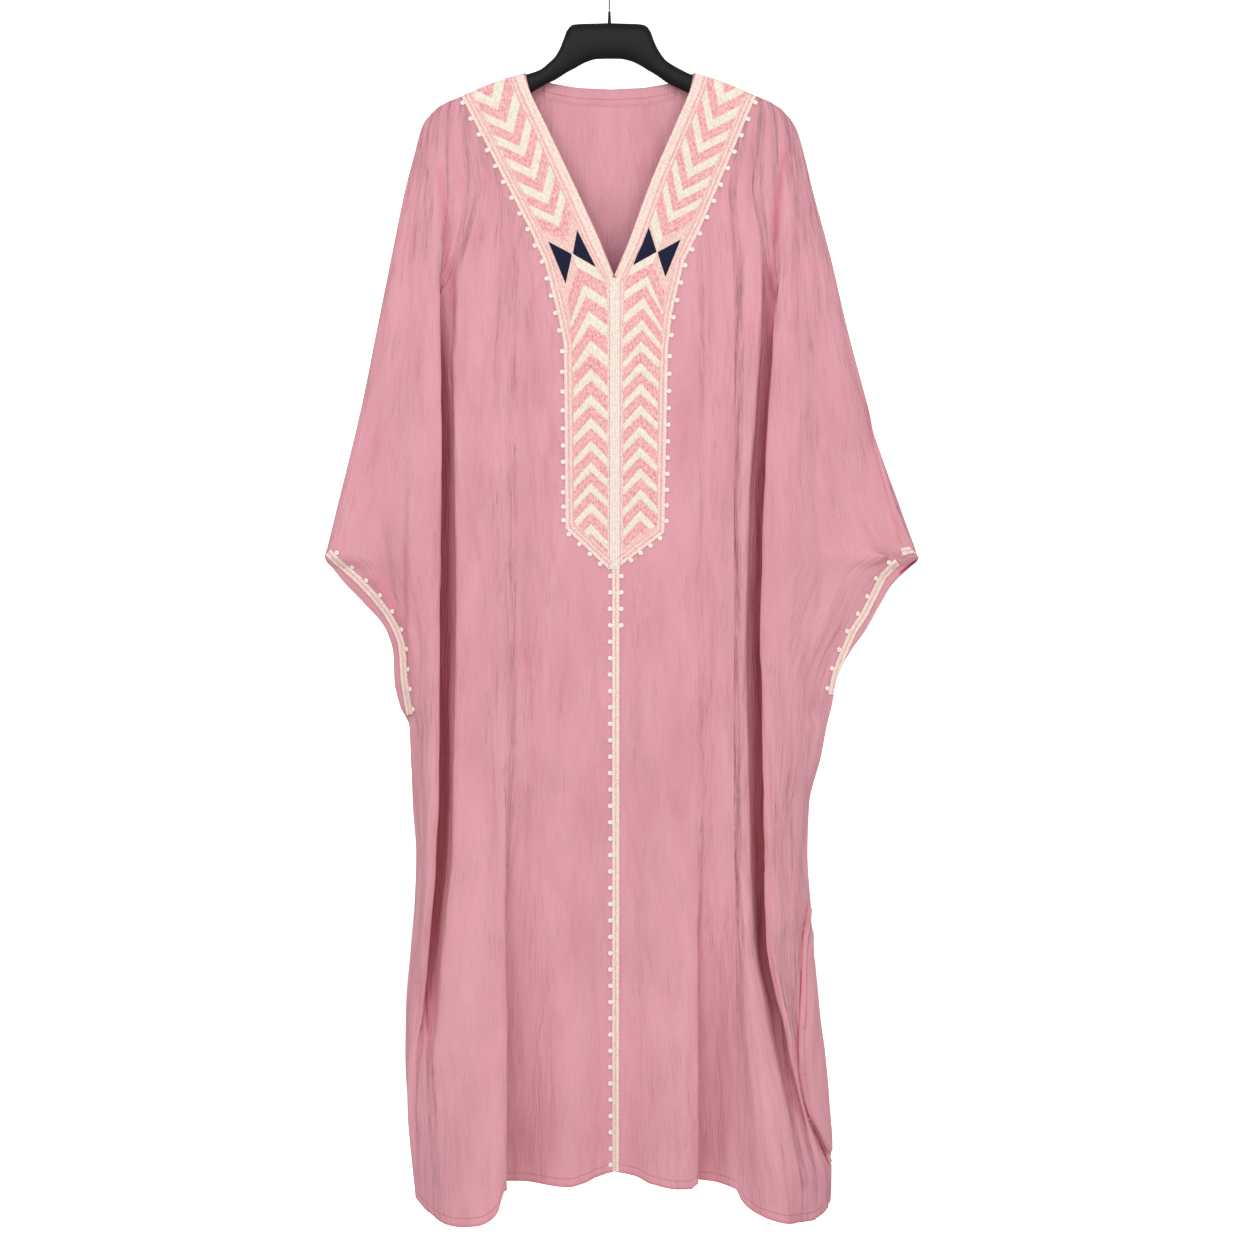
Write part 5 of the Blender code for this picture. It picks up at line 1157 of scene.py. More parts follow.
class Stitches:
    """Collects the base strip, satin ribbons and loops of one sewn-on piece."""

    def __init__(self, cloth, looks):
        self.cloth = cloth
        self.looks = looks
        self.slot_of = {name: k for k, name in enumerate(looks)}
        self.points = []
        self.uvs = []
        self.faces = []
        self.slots = []
        self.strips = 0
        self.chance = np.random.default_rng(SEED)

    def put(self, x, z, lift, uv):
        self.points.append(self.cloth.over(x, z, lift))
        self.uvs.append(uv)

    def add_face(self, corners, look):
        self.faces.append(corners)
        self.slots.append(self.slot_of[look])

    def base(self, outline, look, wall=BAND_WALL):
        """A flat strip over an outline, with its edge down to the cloth."""
        low, high = np.min(outline, axis=0), np.max(outline, axis=0)
        x, z = (np.arange(low[k] + GUIDE_PITCH / 2, high[k], GUIDE_PITCH) for k in (0, 1))
        x, z = (places.ravel() for places in np.meshgrid(x, z, indexing="ij"))
        distance, _ = distance_and_share(x, z, outline + outline[:1])
        kept = inside(outline, x, z) & (distance > LEAST_GUIDE)
        coords = [Vector(p) for p in outline + list(zip(x[kept], z[kept]))]
        count = len(outline)
        edges = [(k, (k + 1) % count) for k in range(count)]
        found = delaunay_2d_cdt(coords, edges, [], 1, 0.001)
        places, faces, sources = found[0], found[2], found[3]
        start = len(self.points)
        for place in places:
            self.put(*place, BAND_LIFT + wall, tuple(place))
        for face in faces:
            a, b, c = (places[k] for k in face)
            middle = (a + b + c) / 3
            if inside(outline, middle.x, middle.y):
                turn = (b - a).cross(c - a)
                ordered = tuple(face) if (turn > 0) == (self.cloth.away < 0) else tuple(reversed(face))
                self.add_face(tuple(start + k for k in ordered), look)
        top_of = {s: k + start for k in range(len(places)) for s in sources[k]}
        foot = len(self.points)
        for x, z in outline:
            self.put(x, z, 0.1, (x, z))
        turn = sum(a[0] * b[1] - a[1] * b[0] for a, b in zip(outline, outline[1:] + outline[:1]))
        for k in range(count):
            n = (k + 1) % count
            a, b = (k, n) if (turn > 0) == (self.cloth.away < 0) else (n, k)
            self.add_face((top_of[b], top_of[a], foot + a, foot + b), look)

    def ribbon(self, rows, look, height=STITCH_HEIGHT, lift=BAND_LIFT + BAND_WALL):
        """Satin stitches side by side over a strip: rows of places from one long edge to the other."""
        lines = np.array(rows, dtype=float)
        middle = lines[len(lines) // 2]
        length = lengths(middle)
        number = max(1, round(length[-1] / STITCH_PITCH))
        at = np.linspace(0, length[-1], number * STITCH_COLUMNS + 1)
        grid = np.array([[np.interp(at, length, line[:, n]) for n in (0, 1)] for line in lines])
        grid = grid.transpose(0, 2, 1)
        stitch = np.arange(len(at)) / STITCH_COLUMNS
        whole = stitch.astype(int)
        ridge = np.abs(np.sin(math.pi * stitch))
        across = grid[-1] - grid[0]
        wide = np.linalg.norm(across, axis=1, keepdims=True)
        across = across / np.maximum(wide, 1e-9)
        reach = self.chance.uniform(-0.05, 0.5, (2, number + 1))[:, whole] * ridge - 0.18 * (1 - ridge)
        grid[0] -= across * reach[0][:, None]
        grid[-1] += across * reach[1][:, None]
        tall = self.chance.uniform(0.78, 1.15, number + 1)[whole]
        count, columns = grid.shape[:2]
        start = len(self.points)
        for r, row in enumerate(grid):
            share = r / (count - 1)
            dome = height * (1 - abs(2 * share - 1) ** 2.6)
            for k, (x, z) in enumerate(row):
                rise = dome * (0.4 + 0.6 * ridge[k]) * tall[k]
                self.put(x, z, lift - 0.12 + rise, (stitch[k] + 7 * self.strips, share * 10))
        self.strips += 1
        turn = np.cross(lines[0][-1] - lines[0][0], lines[-1][0] - lines[0][0])
        way = 1 if (turn > 0) == (self.cloth.away < 0) else -1
        for quad in quads(count, columns, start):
            self.add_face(quad[::way], look)

    def line(self, points, near, far, look, height=STITCH_HEIGHT, step=5.0):
        """A ribbon beside a line of points, from near to far on its left."""
        path = dense(points, step)
        rows = []
        for share in LINE_SHARES:
            rows.append(offset_line(path, mix(near, far, share)))
        self.ribbon(rows, look, height)

    def between(self, one, two, look, height=STITCH_HEIGHT, step=5.0):
        """A ribbon between two lines that have a point for each other's points."""
        counts = stretches(one, step)
        lines = [divided(points, counts) for points in (one, two)]
        rows = []
        for share in LINE_SHARES:
            rows.append([(mix(a[0], b[0], share), mix(a[1], b[1], share)) for a, b in zip(*lines)])
        self.ribbon(rows, look, height)

    def loop(self, x, z, look, radius=PICOT_RADIUS, thread=PICOT_THREAD):
        """A small open ring of thread lying on the cloth."""
        around, sides = 12, 6
        start = len(self.points)
        hit, normal = self.cloth.at(x, z)
        side = Vector((1, 0, 0))
        side = (side - normal * side.dot(normal)).normalized()
        up = normal.cross(side)
        middle = hit + normal * (BAND_LIFT + BAND_WALL * 0.5 + 0.2)
        for k in range(around):
            angle = 2 * math.pi * k / around
            way = side * math.cos(angle) + up * math.sin(angle)
            for n in range(sides):
                turn = 2 * math.pi * n / sides
                out = way * (radius + thread * math.cos(turn)) + normal * thread * math.sin(turn)
                self.points.append(middle + out)
                self.uvs.append((radius * angle, n))
        for a, b, c, d in quads(around + 1, sides, closed=True):
            self.add_face(tuple(start + k % (around * sides) for k in (a, d, c, b)), look)

    def loops(self, points, pitches, away, look, first=8.0):
        """Knots along a line, away to its left (or right if below zero), from a first to a last pitch."""
        travelled = 0.0
        due = first
        total = sum(math.dist(a, b) for a, b in zip(points, points[1:]))
        for a, b in zip(points, points[1:]):
            length = math.dist(a, b)
            while due <= travelled + length:
                t = (due - travelled) / length
                wx, wz = (b[0] - a[0]) / length, (b[1] - a[1]) / length
                self.loop(mix(a[0], b[0], t) - wz * away, mix(a[1], b[1], t) + wx * away, look)
                due += mix(pitches[0], pitches[1], due / total)
            travelled += length

    def finish(self, name, materials):
        looks = [materials[k] for k in self.looks]
        return mesh_object(name, self.points, self.faces, looks, self.uvs, self.slots, sharp=75)


def stretches(points, step):
    """In how many stretches each part of a line is divided, so that none is longer than step."""
    return [max(1, math.ceil(math.dist(a, b) / step)) for a, b in zip(points, points[1:])]


def divided(points, counts):
    made = [tuple(points[0])]
    for a, b, count in zip(points, points[1:], counts):
        made += [(mix(a[0], b[0], k / count), mix(a[1], b[1], k / count)) for k in range(1, count + 1)]
    return made


def dense(points, step):
    """The line with more points, at most step apart."""
    return divided(points, stretches(points, step))


def offset_line(points, distance):
    """The line moved to its left by a distance."""
    made = []
    p = np.array(points, dtype=float)
    for k in range(len(p)):
        ways = []
        if k > 0:
            ways.append((p[k] - p[k - 1]) / np.linalg.norm(p[k] - p[k - 1]))
        if k < len(p) - 1:
            ways.append((p[k + 1] - p[k]) / np.linalg.norm(p[k + 1] - p[k]))
        normals = [np.array((-w[1], w[0])) for w in ways]
        mean = np.mean(normals, axis=0)
        mean /= max(mean.dot(normals[0]), 0.4)
        made.append(tuple(p[k] + mean * distance))
    return made


def tip_at(tips, n):
    k = held(int(math.floor(n)), 0, len(tips) - 2)
    t = n - k
    return np.array((mix(tips[k][0], tips[k + 1][0], t), mix(tips[k][1], tips[k + 1][1], t)))


def clip(start, way, field):
    """Stretch of a ray that lies inside a field, as two distances, or None."""
    cuts = [0.0]
    for a, b in zip(field, field[1:] + field[:1]):
        edge = np.array((b[0] - a[0], b[1] - a[1]))
        turn = way[0] * edge[1] - way[1] * edge[0]
        if abs(turn) < 1e-9:
            continue
        gap = np.array(a) - start
        t = (gap[0] * edge[1] - gap[1] * edge[0]) / turn
        s = (gap[0] * way[1] - gap[1] * way[0]) / turn
        if t > 0 and -1e-6 <= s <= 1 + 1e-6:
            cuts.append(t)
    cuts.sort()
    for low, high in zip(cuts, cuts[1:]):
        middle = start + way * (low + high) / 2
        if high - low > 0.4 and inside(field, *middle):
            return low, high
    return None


def arm_stripe(stitches, tips, arm_at, field, low, high, look):
    """One arm of a chevron stripe, from the tips' line to the field's edge."""
    shares = (0.0, 0.2, 0.5, 0.8, 1.0)
    rows = []
    for share in shares:
        n = mix(low, high, share)
        way = arm_at(n)
        start = tip_at(tips, n)
        found = clip(start, way, field)
        rows.append((start, way, found))
    known = [row[2] for row in rows if row[2]]
    least = len(rows) if look == "cream" else 3
    if len(known) < least or np.mean([far - near for near, far in known]) < LEAST_ARM:
        return
    made = []
    for k, (start, way, found) in enumerate(rows):
        if found is None:
            nearest = min(range(len(rows)), key=lambda i: (rows[i][2] is None, abs(i - k)))
            start, way, found = rows[nearest]
        a, b = found
        made.append([tuple(start + way * mix(a, b, q / 9)) for q in range(10)])
    stitches.ribbon(made, look)


def chevrons(stitches, tips, arms, settled, field, up):
    """A field of chevrons: cream stripes between two rows of pink satin."""
    def direction(arm):
        def at(n):
            way = np.array(arms[arm], dtype=float)
            share = n - math.floor(n) if up else math.ceil(n) - n
            narrow = share / CREAM_SHARE if share < CREAM_SHARE else (1 - share) / (1 - CREAM_SHARE)
            way /= np.linalg.norm(way)
            if settled:
                end = np.array(settled[arm], dtype=float)
                end /= np.linalg.norm(end)
                t = held(n / ARMS_SETTLE)
                way = way * (1 - t) + end * t
                way[1] *= 1 - ARM_TAPER * narrow
                way /= np.linalg.norm(way)
            return way
        return at
    pink = (1 - CREAM_SHARE) / 2
    for k in range(len(tips)):
        if up:
            bands = ((k, k + CREAM_SHARE, "cream"), (k + CREAM_SHARE, k + CREAM_SHARE + pink, "pink"),
                     (k + CREAM_SHARE + pink, k + 1, "pink"))
        else:
            bands = ((k - CREAM_SHARE, k, "cream"), (k - 1, k - 1 + pink, "pink"),
                     (k - 1 + pink, k - CREAM_SHARE, "pink"))
        for low, high, look in bands:
            if low < 0 or high > len(tips) - 1:
                continue
            for arm in range(2):
                arm_stripe(stitches, tips, direction(arm), field, low, high, look)


def yoke(name, cloth, materials):
    shape = YOKES[name]
    side = 1 if name.endswith("left") else -1
    stitches = Stitches(cloth, ("ground", "cream", "pink", "navy", "border_cream", "border_pink", "knot"))
    outer = list(shape["outer"])
    inner = list(shape["inner"])
    top = list(shape["top"])
    low = list(shape["inner_low"])
    inner_side = dense(inner + low, 6)[::-1]
    outline = dense(outer, 6) + inner_side[:-1] + dense(top, 6)[:-1]
    stitches.base(outline, "ground")
    for near, far, look in OUTER_BORDER:
        stitches.line(outer, near * side, far * side, look)
    for near, far, low_near, low_far, look in NECK_BORDER:
        sides = []
        for at_edge, at_placket in ((near, low_near), (far, low_far)):
            path = offset_line(inner, -at_edge * side)[:-1]
            sides.append(path + [(low[0][0] - at_placket * side, low[0][1])])
        stitches.between(sides[0], sides[1], look)
    for near, far, look in COLUMN_BORDER:
        stitches.line(low, -near * side, -far * side, look, 0.5)
    chevrons(stitches, shape["upper_tips"], shape["upper_arms"], None, list(shape["upper_field"]), False)
    settled = COLUMN_ARMS if side > 0 else COLUMN_ARMS[::-1]
    chevrons(stitches, shape["lower_tips"], shape["lower_arms"], settled, list(shape["lower_field"]), True)
    for corners in shape["bow_ties"]:
        middle = np.mean(np.array(corners), axis=0)
        rings = [[middle + (np.array(c) - middle) * s for c in corners] for s in (0.99, 0.8, 0.02)]
        around = 36
        rows = [even(ring + ring[:1], around) for ring in rings]
        start = len(stitches.points)
        for row, rise in zip(rows, (0.0, 0.8, 0.82)):
            for x, z in row:
                stitches.put(x, z, BAND_LIFT + BAND_WALL - 0.1 + rise, (z, x))
        for quad in quads(3, around + 1, start):
            stitches.add_face(quad, "navy")
        stitches.add_face(tuple(range(start + 2 * (around + 1), start + 3 * around + 2)), "navy")
    for points, pitches in zip((outer[:5], outer[4:6], outer[5:]), PICOT_PITCHES[name]):
        stitches.loops(points, pitches, -PICOT_AWAY * side, "knot")
    return stitches.finish(name + "_stitched", materials)


def even(points, count):
    """Points evenly along a line, count stretches."""
    p = np.array(points, dtype=float)
    step = lengths(p)
    at = np.linspace(0, step[-1], count + 1)
    return [(float(np.interp(s, step, p[:, 0])), float(np.interp(s, step, p[:, 1]))) for s in at]


def upright(name, cloth, lines, ends, materials, picots=None):
    """A straight strip down the front, with upright satin lines and loops on its left."""
    used = dict.fromkeys(look for _, _, look in lines)
    stitches = Stitches(cloth, ("ground", "knot", *used))
    left, right = lines[0][0], lines[-1][1]
    top, bottom = ends
    outline = dense([(left, top), (left, bottom)], 8) + dense([(right, bottom), (right, top)], 8)
    stitches.base(outline, "ground")
    for near, far, look in lines:
        stitches.line([(left, top), (left, bottom)], near - left, far - left, look, 0.5, 8.0)
    if picots:
        stitches.loops([(left, top), (left, bottom)], (picots, picots), -PICOT_AWAY, "knot")
        low = top - BRAID_WIDE
        stitches.loops([(right, top), (right, low)], (picots, picots), PICOT_AWAY, "knot")
    return stitches.finish(name + "_stitched", materials)


def cuff_trim(name, cloth, side, materials):
    stitches = Stitches(cloth, ("ground", "border_cream", "border_pink", "knot"))
    turn = 1 if side == "left" else -1
    line = dense(CUFFS[side], 6)
    half = CUFF_LINES[-1][1]
    outline = offset_line(line, half) + offset_line(line, -half)[::-1]
    stitches.base(outline, "ground", 0.7)
    for near, far, look in CUFF_LINES:
        stitches.line(line, near, far, look, 0.5, 6.0)
    stitches.loops(offset_line(line, half * turn), (CUFF_PICOT_PITCH, CUFF_PICOT_PITCH),
                   PICOT_AWAY * turn, "knot")
    if name in CUFF_TIPS:
        tip = dense(CUFF_TIPS[name], 4)
        stitches.base(offset_line(tip, half) + offset_line(tip, -half)[::-1], "ground", 0.7)
        for near, far, look in CUFF_LINES:
            stitches.line(tip, near, far, look, 0.5, 4.0)
    return stitches.finish(name + "_stitched", materials)


def neck_band(cloth, look):
    """The facing inside the back neck, with its two rows of stitches."""
    rows = []
    count = 60
    for d in (0.8, 2.0, 6.0, 11.0, 12.4, 13.0, 13.6, 15.0, 19.0, 20.2, 21.0):
        row = []
        for k in range(count + 1):
            x = mix(NECK_BAND_ENDS[0], NECK_BAND_ENDS[1], k / count)
            z = line_at(BACK_NECK_LINE, x) - d
            groove = 0.9 if d in (13.0, 20.2) else 0.0
            row.append(cloth.over(x, z, 1.3 - groove - (0.9 if d in (0.8, 21.0) else 0)))
        rows.append(row)
    points = [p for row in rows for p in row]
    faces = [(a, d, c, b) for a, b, c, d in quads(len(rows), count + 1)]
    uvs = [(p[0], p[2]) for p in points]
    return mesh_object("neck_band_facing", points, faces, [look], uvs)


def tube(name, path, radii, sides, look):
    """A round bar along a path in the plane x = HOOK_X."""
    points = []
    for k, (y, z) in enumerate(path):
        y0, z0 = path[max(k - 1, 0)]
        y1, z1 = path[min(k + 1, len(path) - 1)]
        length = math.hypot(y1 - y0, z1 - z0)
        out = ((z1 - z0) / length, -(y1 - y0) / length)
        for n in range(sides):
            angle = 2 * math.pi * n / sides
            across = math.cos(angle) * radii[k]
            points.append((HOOK_X - math.sin(angle) * radii[k], y + out[0] * across, z + out[1] * across))
    return closed_rings(name, points, len(path), sides, look)


def closed_rings(name, points, rings, sides, look):
    faces = quads(rings, sides, closed=True)
    faces.append(tuple(reversed(range(sides))))
    faces.append(tuple(range((rings - 1) * sides, rings * sides)))
    return mesh_object(name, points, faces, [look])


def hook_path():
    """Up from the collar, out to the back and round over the top to the open mouth in front."""
    radius = HOOK_INSIDE + HOOK_WIRE
    centre = -HOOK_INSIDE
    join = math.radians(-42)
    end = np.array((math.cos(join) * radius, centre + math.sin(join) * radius))
    way = np.array((-math.sin(join), math.cos(join)))
    foot = HOOK_START + 1.5
    points = [np.array((0.0, foot)), np.array((0.0, foot + 4.0)), end - way * 6, end]
    path = [(0.0, HOOK_START)]
    for k in range(14):
        t = k / 14
        path.append(tuple((1 - t) ** 3 * points[0] + 3 * t * (1 - t) ** 2 * points[1]
                          + 3 * t * t * (1 - t) * points[2] + t ** 3 * points[3]))
    for k in range(49):
        angle = mix(join, math.radians(HOOK_OPEN_ANGLE), k / 48)
        path.append((math.cos(angle) * radius, centre + math.sin(angle) * radius))
    return path


def hanger(look):
    """Moulded hanger: an oval section that follows the outline from end to end."""
    table = np.array(HANGER)
    at = []
    for a, b in zip(table[:-1, 0], table[1:, 0]):
        count = max(1, round((b - a) / 3.0))
        at += [mix(a, b, k / count) for k in range(count)]
    at.append(table[-1, 0])
    points = []
    for x in at:
        top, bottom, half = (smooth_value(table[:, 0], table[:, k], x) for k in (1, 2, 3))
        middle = (top + bottom) / 2
        height = (top - bottom) / 2
        for k in range(HANGER_SIDES):
            angle = 2 * math.pi * (k + 0.5) / HANGER_SIDES
            c, s = math.cos(angle), math.sin(angle)
            y = math.copysign(abs(c) ** 0.8, c) * half
            points.append((x, y, middle + math.copysign(abs(s) ** 0.8, s) * height))
    return closed_rings("hanger_moulded", points, len(at), HANGER_SIDES, look)


class Nodes:
    """A material's nodes, made by short calls."""

    def __init__(self, name):
        self.material = bpy.data.materials.new(name)
        self.material.use_nodes = True
        self.tree = self.material.node_tree
        self.shader = self.tree.nodes["Principled BSDF"]

    def fill(self, node, inputs):
        """Links a node's inputs to sockets, or gives them plain values."""
        for key, value in inputs.items():
            if isinstance(value, bpy.types.NodeSocket):
                self.tree.links.new(value, node.inputs[key])
            else:
                node.inputs[key].default_value = value

    def new(self, kind, inputs, **settings):
        """The outputs of a new node."""
        made = self.tree.nodes.new(kind)
        for key, value in settings.items():
            setattr(made, key, value)
        self.fill(made, inputs)
        return made.outputs

    def place(self, scale, source="Object"):
        coords = self.new("ShaderNodeTexCoord", {})[source]
        return self.new("ShaderNodeMapping", {"Scale": scale, "Vector": coords})["Vector"]

    def uv(self):
        coords = self.new("ShaderNodeTexCoord", {})["UV"]
        split = self.new("ShaderNodeSeparateXYZ", {"Vector": coords})
        return split["X"], split["Y"]

    def noise(self, vector, detail, roughness=0.5):
        inputs = {"Scale": 1.0, "Detail": detail, "Roughness": roughness, "Vector": vector}
        return self.new("ShaderNodeTexNoise", inputs)["Fac"]

    def lumps(self, u, v, across, down, detail=2.0):
        """Noise over u and v, its lumps so many millimetres across and down."""
        inputs = {"X": self.maths("DIVIDE", u, across), "Y": self.maths("DIVIDE", v, down)}
        return self.noise(self.new("ShaderNodeCombineXYZ", inputs)["Vector"], detail)

    def ramp(self, value, *stops):
        """A colour between two stops, each a place and a colour."""
        made = self.tree.nodes.new("ShaderNodeValToRGB")
        for element, (place, colour) in zip(made.color_ramp.elements, stops):
            element.position = place
            element.color = (*colour, 1)
        self.fill(made, {"Fac": value})
        return made.outputs["Color"]

    def between(self, value, low, high):
        """The value as a share from low to high, kept within 0 and 1."""
        return self.new("ShaderNodeMapRange", {"From Min": low, "From Max": high, "Value": value})["Result"]

    def bump(self, height, strength, distance, before=None):
        inputs = {"Strength": strength, "Distance": distance, "Height": height}
        if before is not None:
            inputs["Normal"] = before
        return self.new("ShaderNodeBump", inputs)["Normal"]

    def maths(self, kind, a, b=0.0):
        return self.new("ShaderNodeMath", {0: a, 1: b}, operation=kind)[0]

    def weighed(self, *parts):
        """The sum of values, each times its weight."""
        terms = [self.maths("MULTIPLY", value, weight) for value, weight in parts]
        total = terms[0]
        for term in terms[1:]:
            total = self.maths("ADD", total, term)
        return total

    def finished(self, colour, normal, values):
        """The material, given its colour, its normal and the plain values of its shader."""
        self.fill(self.shader, {"Base Color": colour, "Normal": normal, **values})
        return self.material


def linear(*colour):
    """Colour from 0 to 255 as the screen shows it, in linear light."""
    made = []
    for c in colour:
        c = c / 255
        made.append(c / 12.92 if c <= 0.04045 else ((c + 0.055) / 1.055) ** 2.4)
    return tuple(made)


def crepe_look(name, light, dark, deep, painted_darkest_shade):
    """Crinkled crepe: wrinkles that follow the columns, in clusters, over broad patches of hue, with painted
    shade in the wrinkles' valleys and in the folds.
    """
    nodes = Nodes(name)
    sway = nodes.noise(nodes.place((1 / 30.0, 1 / 55.0, 1.0), "UV"), 1.0)
    u, v = nodes.uv()
    u = nodes.maths("ADD", u, nodes.maths("MULTIPLY", sway, 14.0))
    fine = nodes.lumps(u, v, 3.4, 34.0)
    coarse = nodes.lumps(u, v, 9.0, 70.0)
    often = nodes.between(nodes.lumps(u, v, 38.0, 85.0, 1.0), 0.40, 0.62)
    patch = nodes.lumps(u, v, 52.0, 150.0)
    weave = nodes.noise(nodes.place((1400.0, 1400.0, 900.0)), 1.0)
    wrinkle = nodes.maths("MULTIPLY", fine, nodes.maths("ADD", nodes.maths("MULTIPLY", often, 0.8), 0.2))
    # Patches of hue, and painted shade where the fine wrinkles' bump dips.
    colour = nodes.ramp(nodes.weighed((patch, 0.75), (fine, 0.25)), (0.36, dark), (0.62, light))
    # Painted shade: the shade attribute mixes the colour towards the fold's painted tint, and from 1 to 2 on
    # towards the darkest one.
    painted_shade = nodes.new("ShaderNodeAttribute", {}, attribute_name="painted_shade")["Fac"]
    for share, tint in ((painted_shade, deep), (nodes.between(painted_shade, 1.0, 2.0), painted_darkest_shade)):
        inputs = {"Factor": share, "A": colour, "B": (*tint, 1)}
        colour = nodes.new("ShaderNodeMix", inputs, data_type="RGBA")["Result"]
    normal = None
    for height, strength, distance in ((wrinkle, 0.8, 0.0026), (coarse, 0.55, 0.0034), (weave, 0.25, 0.0002)):
        normal = nodes.bump(height, strength, distance, normal)
    return nodes.finished(colour, normal, {"Roughness": 0.86, "Specular IOR Level": 0.15,
                                           "Sheen Weight": 0.05, "Sheen Roughness": 0.5})


def satin_look(name, light, dark, rough=0.5, sheen=0.2):
    """Satin stitch: u counts stitches along the strip and v goes from 0 to 10 across it."""
    nodes = Nodes(name)
    u, _ = nodes.uv()
    threads = nodes.maths("SINE", nodes.maths("MULTIPLY", u, 8 * math.pi))
    # Painted shade between stitches: the colour is lightest in each stitch's middle and darkest where
    # stitches meet.
    painted_stitch_shade = nodes.maths("ABSOLUTE", nodes.maths("SINE", nodes.maths("MULTIPLY", u, math.pi)))
    uneven = nodes.noise(nodes.place((0.9, 0.22, 1.0), "UV"), 1.0, 0.6)
    speck = nodes.noise(nodes.place((380.0, 380.0, 380.0)), 1.0, 0.6)
    tone = nodes.weighed((painted_stitch_shade, 0.14), (uneven, 0.5), (speck, 0.38), (threads, 0.02))
    normal = nodes.bump(speck, 0.5, 0.0008, nodes.bump(threads, 0.3, 0.0003))
    return nodes.finished(nodes.ramp(tone, (0.41, linear(*dark)), (0.62, linear(*light))), normal,
                          {"Roughness": rough, "Specular IOR Level": 0.3, "Sheen Weight": sheen})


def plastic_look():
    nodes = Nodes("hanger_black")
    grain = nodes.noise(nodes.place((500.0, 500.0, 500.0)), 3.0, 0.6)
    broad = nodes.noise(nodes.place((14.0, 14.0, 14.0)), 2.0)
    colour = nodes.ramp(broad, (0.3, linear(5, 5, 6)), (0.7, linear(9, 9, 10)))
    return nodes.finished(colour, nodes.bump(grain, 0.12, 0.0003),
                          {"Roughness": 0.45, "Specular IOR Level": 0.2})


def steel_look():
    nodes = Nodes("hook_wire")
    drawn = nodes.noise(nodes.place((900.0, 900.0, 60.0)), 3.0, 0.6)
    colour = nodes.ramp(drawn, (0.3, linear(120, 120, 124)), (0.7, linear(178, 178, 182)))
    return nodes.finished(colour, nodes.bump(drawn, 0.15, 0.0002), {"Metallic": 1.0, "Roughness": 0.32})


def stage():
    """White floor that curves up into a round wall, plain and the same from every side."""
    floor_z, radius, bend, top, sides = -1.60, 6.5, 1.5, 6.0, 64
    profile = []
    for k in range(13):
        angle = math.radians(90 * k / 12)
        profile.append((radius - bend + bend * math.sin(angle), floor_z + bend - bend * math.cos(angle)))
    profile.append((radius, top))
    points = [(0.0, 0.0, floor_z)]
    for reach, z in profile:
        for k in range(sides):
            turn = 2 * math.pi * k / sides
            points.append((reach * math.cos(turn), reach * math.sin(turn), z))
    faces = [(0, 1 + k, 1 + (k + 1) % sides) for k in range(sides)]
    faces += quads(len(profile), sides, 1, closed=True)
    mesh = bpy.data.meshes.new("floor_and_backdrop")
    mesh.from_pydata(points, [], faces)
    mesh.update()
    mesh.shade_smooth()
    made = bpy.data.objects.new("floor_and_backdrop", mesh)
    bpy.context.scene.collection.objects.link(made)
    # The lamps and the sky alone light the object: the wall is only what stands behind it.
    made.visible_diffuse = False
    made.visible_glossy = False
    made.visible_shadow = False
    nodes = Nodes("white_paper")
    nodes.fill(nodes.shader, {"Base Color": (0.8, 0.8, 0.8, 1), "Roughness": 0.9,
                              "Emission Color": (1, 1, 1, 1), "Emission Strength": 1.0})
    mesh.materials.append(nodes.material)


def area_light(name, place, target, size, power):
    data = bpy.data.lights.new(name, "AREA")
    data.shape = "DISK"
    data.size = size
    data.energy = power
    made = bpy.data.objects.new(name, data)
    made.location = place
    made.rotation_euler = (Vector(target) - Vector(place)).to_track_quat("-Z", "Y").to_euler()
    made.visible_camera = False
    bpy.context.scene.collection.objects.link(made)


def lights():
    world = bpy.data.worlds.new("studio")
    world.use_nodes = True
    world.node_tree.nodes["Background"].inputs["Color"].default_value = (1, 1, 1, 1)
    world.node_tree.nodes["Background"].inputs["Strength"].default_value = SKY
    bpy.context.scene.world = world
    for lamp in LAMPS:
        area_light(*lamp)
    bpy.context.scene.view_settings.view_transform = "Standard"


def stands_for(piece, node):
    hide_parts(node)
    return piece


def turn_hem(shell, grid, places):
    turned = np.concatenate([grid[-1:], turned_edge(grid, grid_normals(grid))])
    shell.block(turned, np.broadcast_to(places[-1:], turned.shape[:2]))


def turn_side(shell, grid, places, column):
    """Turns in the cloth's upright edge at its first column (0) or its last one (-1)."""
    way = 1 if column else -1
    side = grid.transpose(1, 0, 2)[::way]
    normal = grid_normals(grid).transpose(1, 0, 2)[::way]
    turned = np.concatenate([side[-1:], turned_edge(side, normal)])[:, len(TOP_SHARES):-len(HEM_EDGE)]
    shell.block(turned, np.full(turned.shape[:2], places[0, column]))


def cloth_object(name, shell, crepe):
    return mesh_object(name, shell.points, shell.quads, [crepe], shell.uvs, shade=shell.shade)


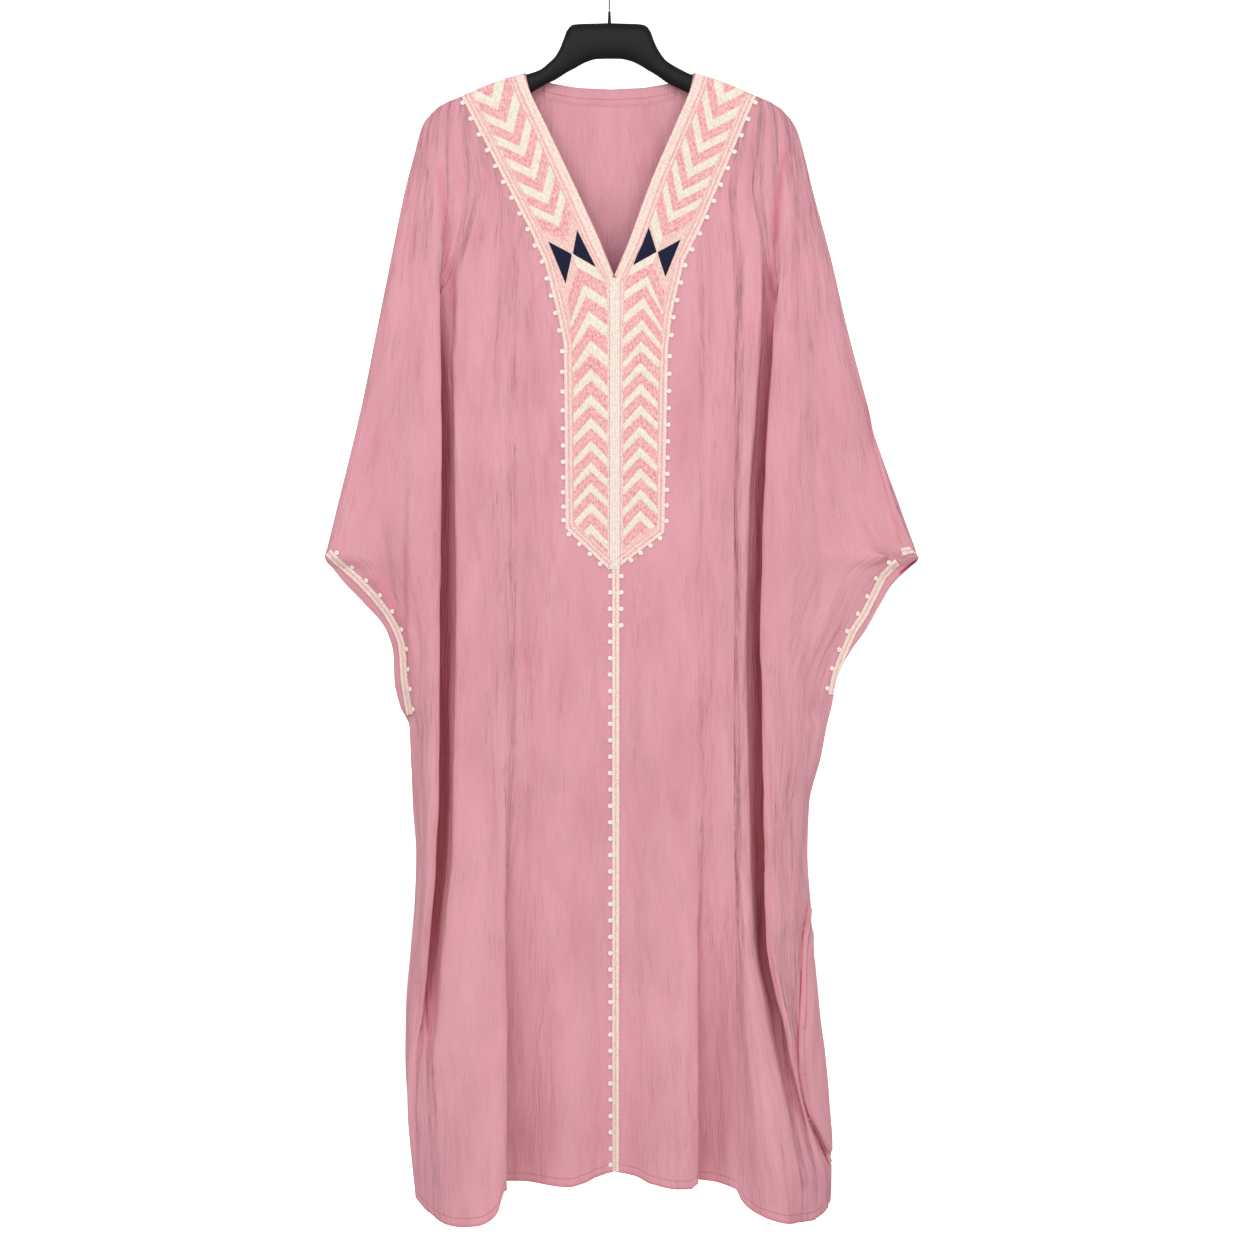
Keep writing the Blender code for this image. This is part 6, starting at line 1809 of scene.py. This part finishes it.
def dress():
    materials = {name: satin_look(*look) for name, look in THREADS.items()}
    crepe = crepe_look("crepe", *(linear(*colour) for colour in CREPE))

    whole, count, shade = front_cloth()
    left, right = whole[:, :count], whole[:, count:]
    places = column_places(whole)
    left_u, right_u = places[:, :count], places[:, count:]
    shell = Shell()
    shell.block(left, left_u, shade[:, :count])
    shell.block(right, right_u, shade[:, count:])
    front_side = Cloth([left, right], -1)
    seam, seam_shade = felled_seam(front_side)
    shell.block(seam, np.zeros(seam.shape[:2]), seam_shade)
    turn_hem(shell, left, left_u)
    turn_hem(shell, right, right_u)
    turn_side(shell, left, left_u, 0)
    turn_side(shell, right, right_u, -1)
    front = stands_for(cloth_object("front_cloth", shell, crepe), "front")

    grid, painted_trough_shade = back_cloth_grid()
    places = column_places(grid)
    shell = Shell()
    shell.block(grid, places, hem_shade(painted_trough_shade))
    turn_hem(shell, grid, places)
    turn_side(shell, grid, places, -1)
    turn_side(shell, grid, places, 0)
    back = stands_for(cloth_object("back_cloth", shell, crepe), "back")

    back_side = Cloth([grid], 1)
    on_front = [stands_for(yoke(name, front_side, materials), name) for name in YOKES]
    for name, lines, ends, picots, slot in (
            ("placket", PLACKET_LINES, PLACKET_ENDS, None, "embroidery"),
            ("centre_braid", BRAID_LINES, BRAID_ENDS, BRAID_PICOT_PITCH, "braid")):
        strip = upright(name, front_side, lines, ends, materials, picots)
        on_front.append(stands_for(strip, name))
    on_back = []
    for side in CUFFS:
        for part, cloth, sewn in (("front", front_side, on_front), ("back", back_side, on_back)):
            name = f"cuff_trim_{part}_{side}"
            sewn.append(stands_for(cuff_trim(name, cloth, side, materials), name))
    lining = Cloth([grid[:, ::-1]], -1)
    on_back.append(stands_for(neck_band(lining, crepe), "neck_band"))

    black = plastic_look()
    stands_for(hanger(black), "hanger")
    middle = [(0.0, mix(*COLLAR_ENDS, k / 4)) for k in range(5)]
    radii = [mix(*COLLAR_RADII, k / 4) for k in range(5)]
    stands_for(tube("hook_collar_moulded", middle, radii, WIRE_SIDES, black), "hook_collar")
    path = hook_path()
    wire = tube("hook_bent", path, [HOOK_WIRE] * len(path), WIRE_SIDES, steel_look())
    stands_for(wire, "hook")


stage()
lights()
dress()
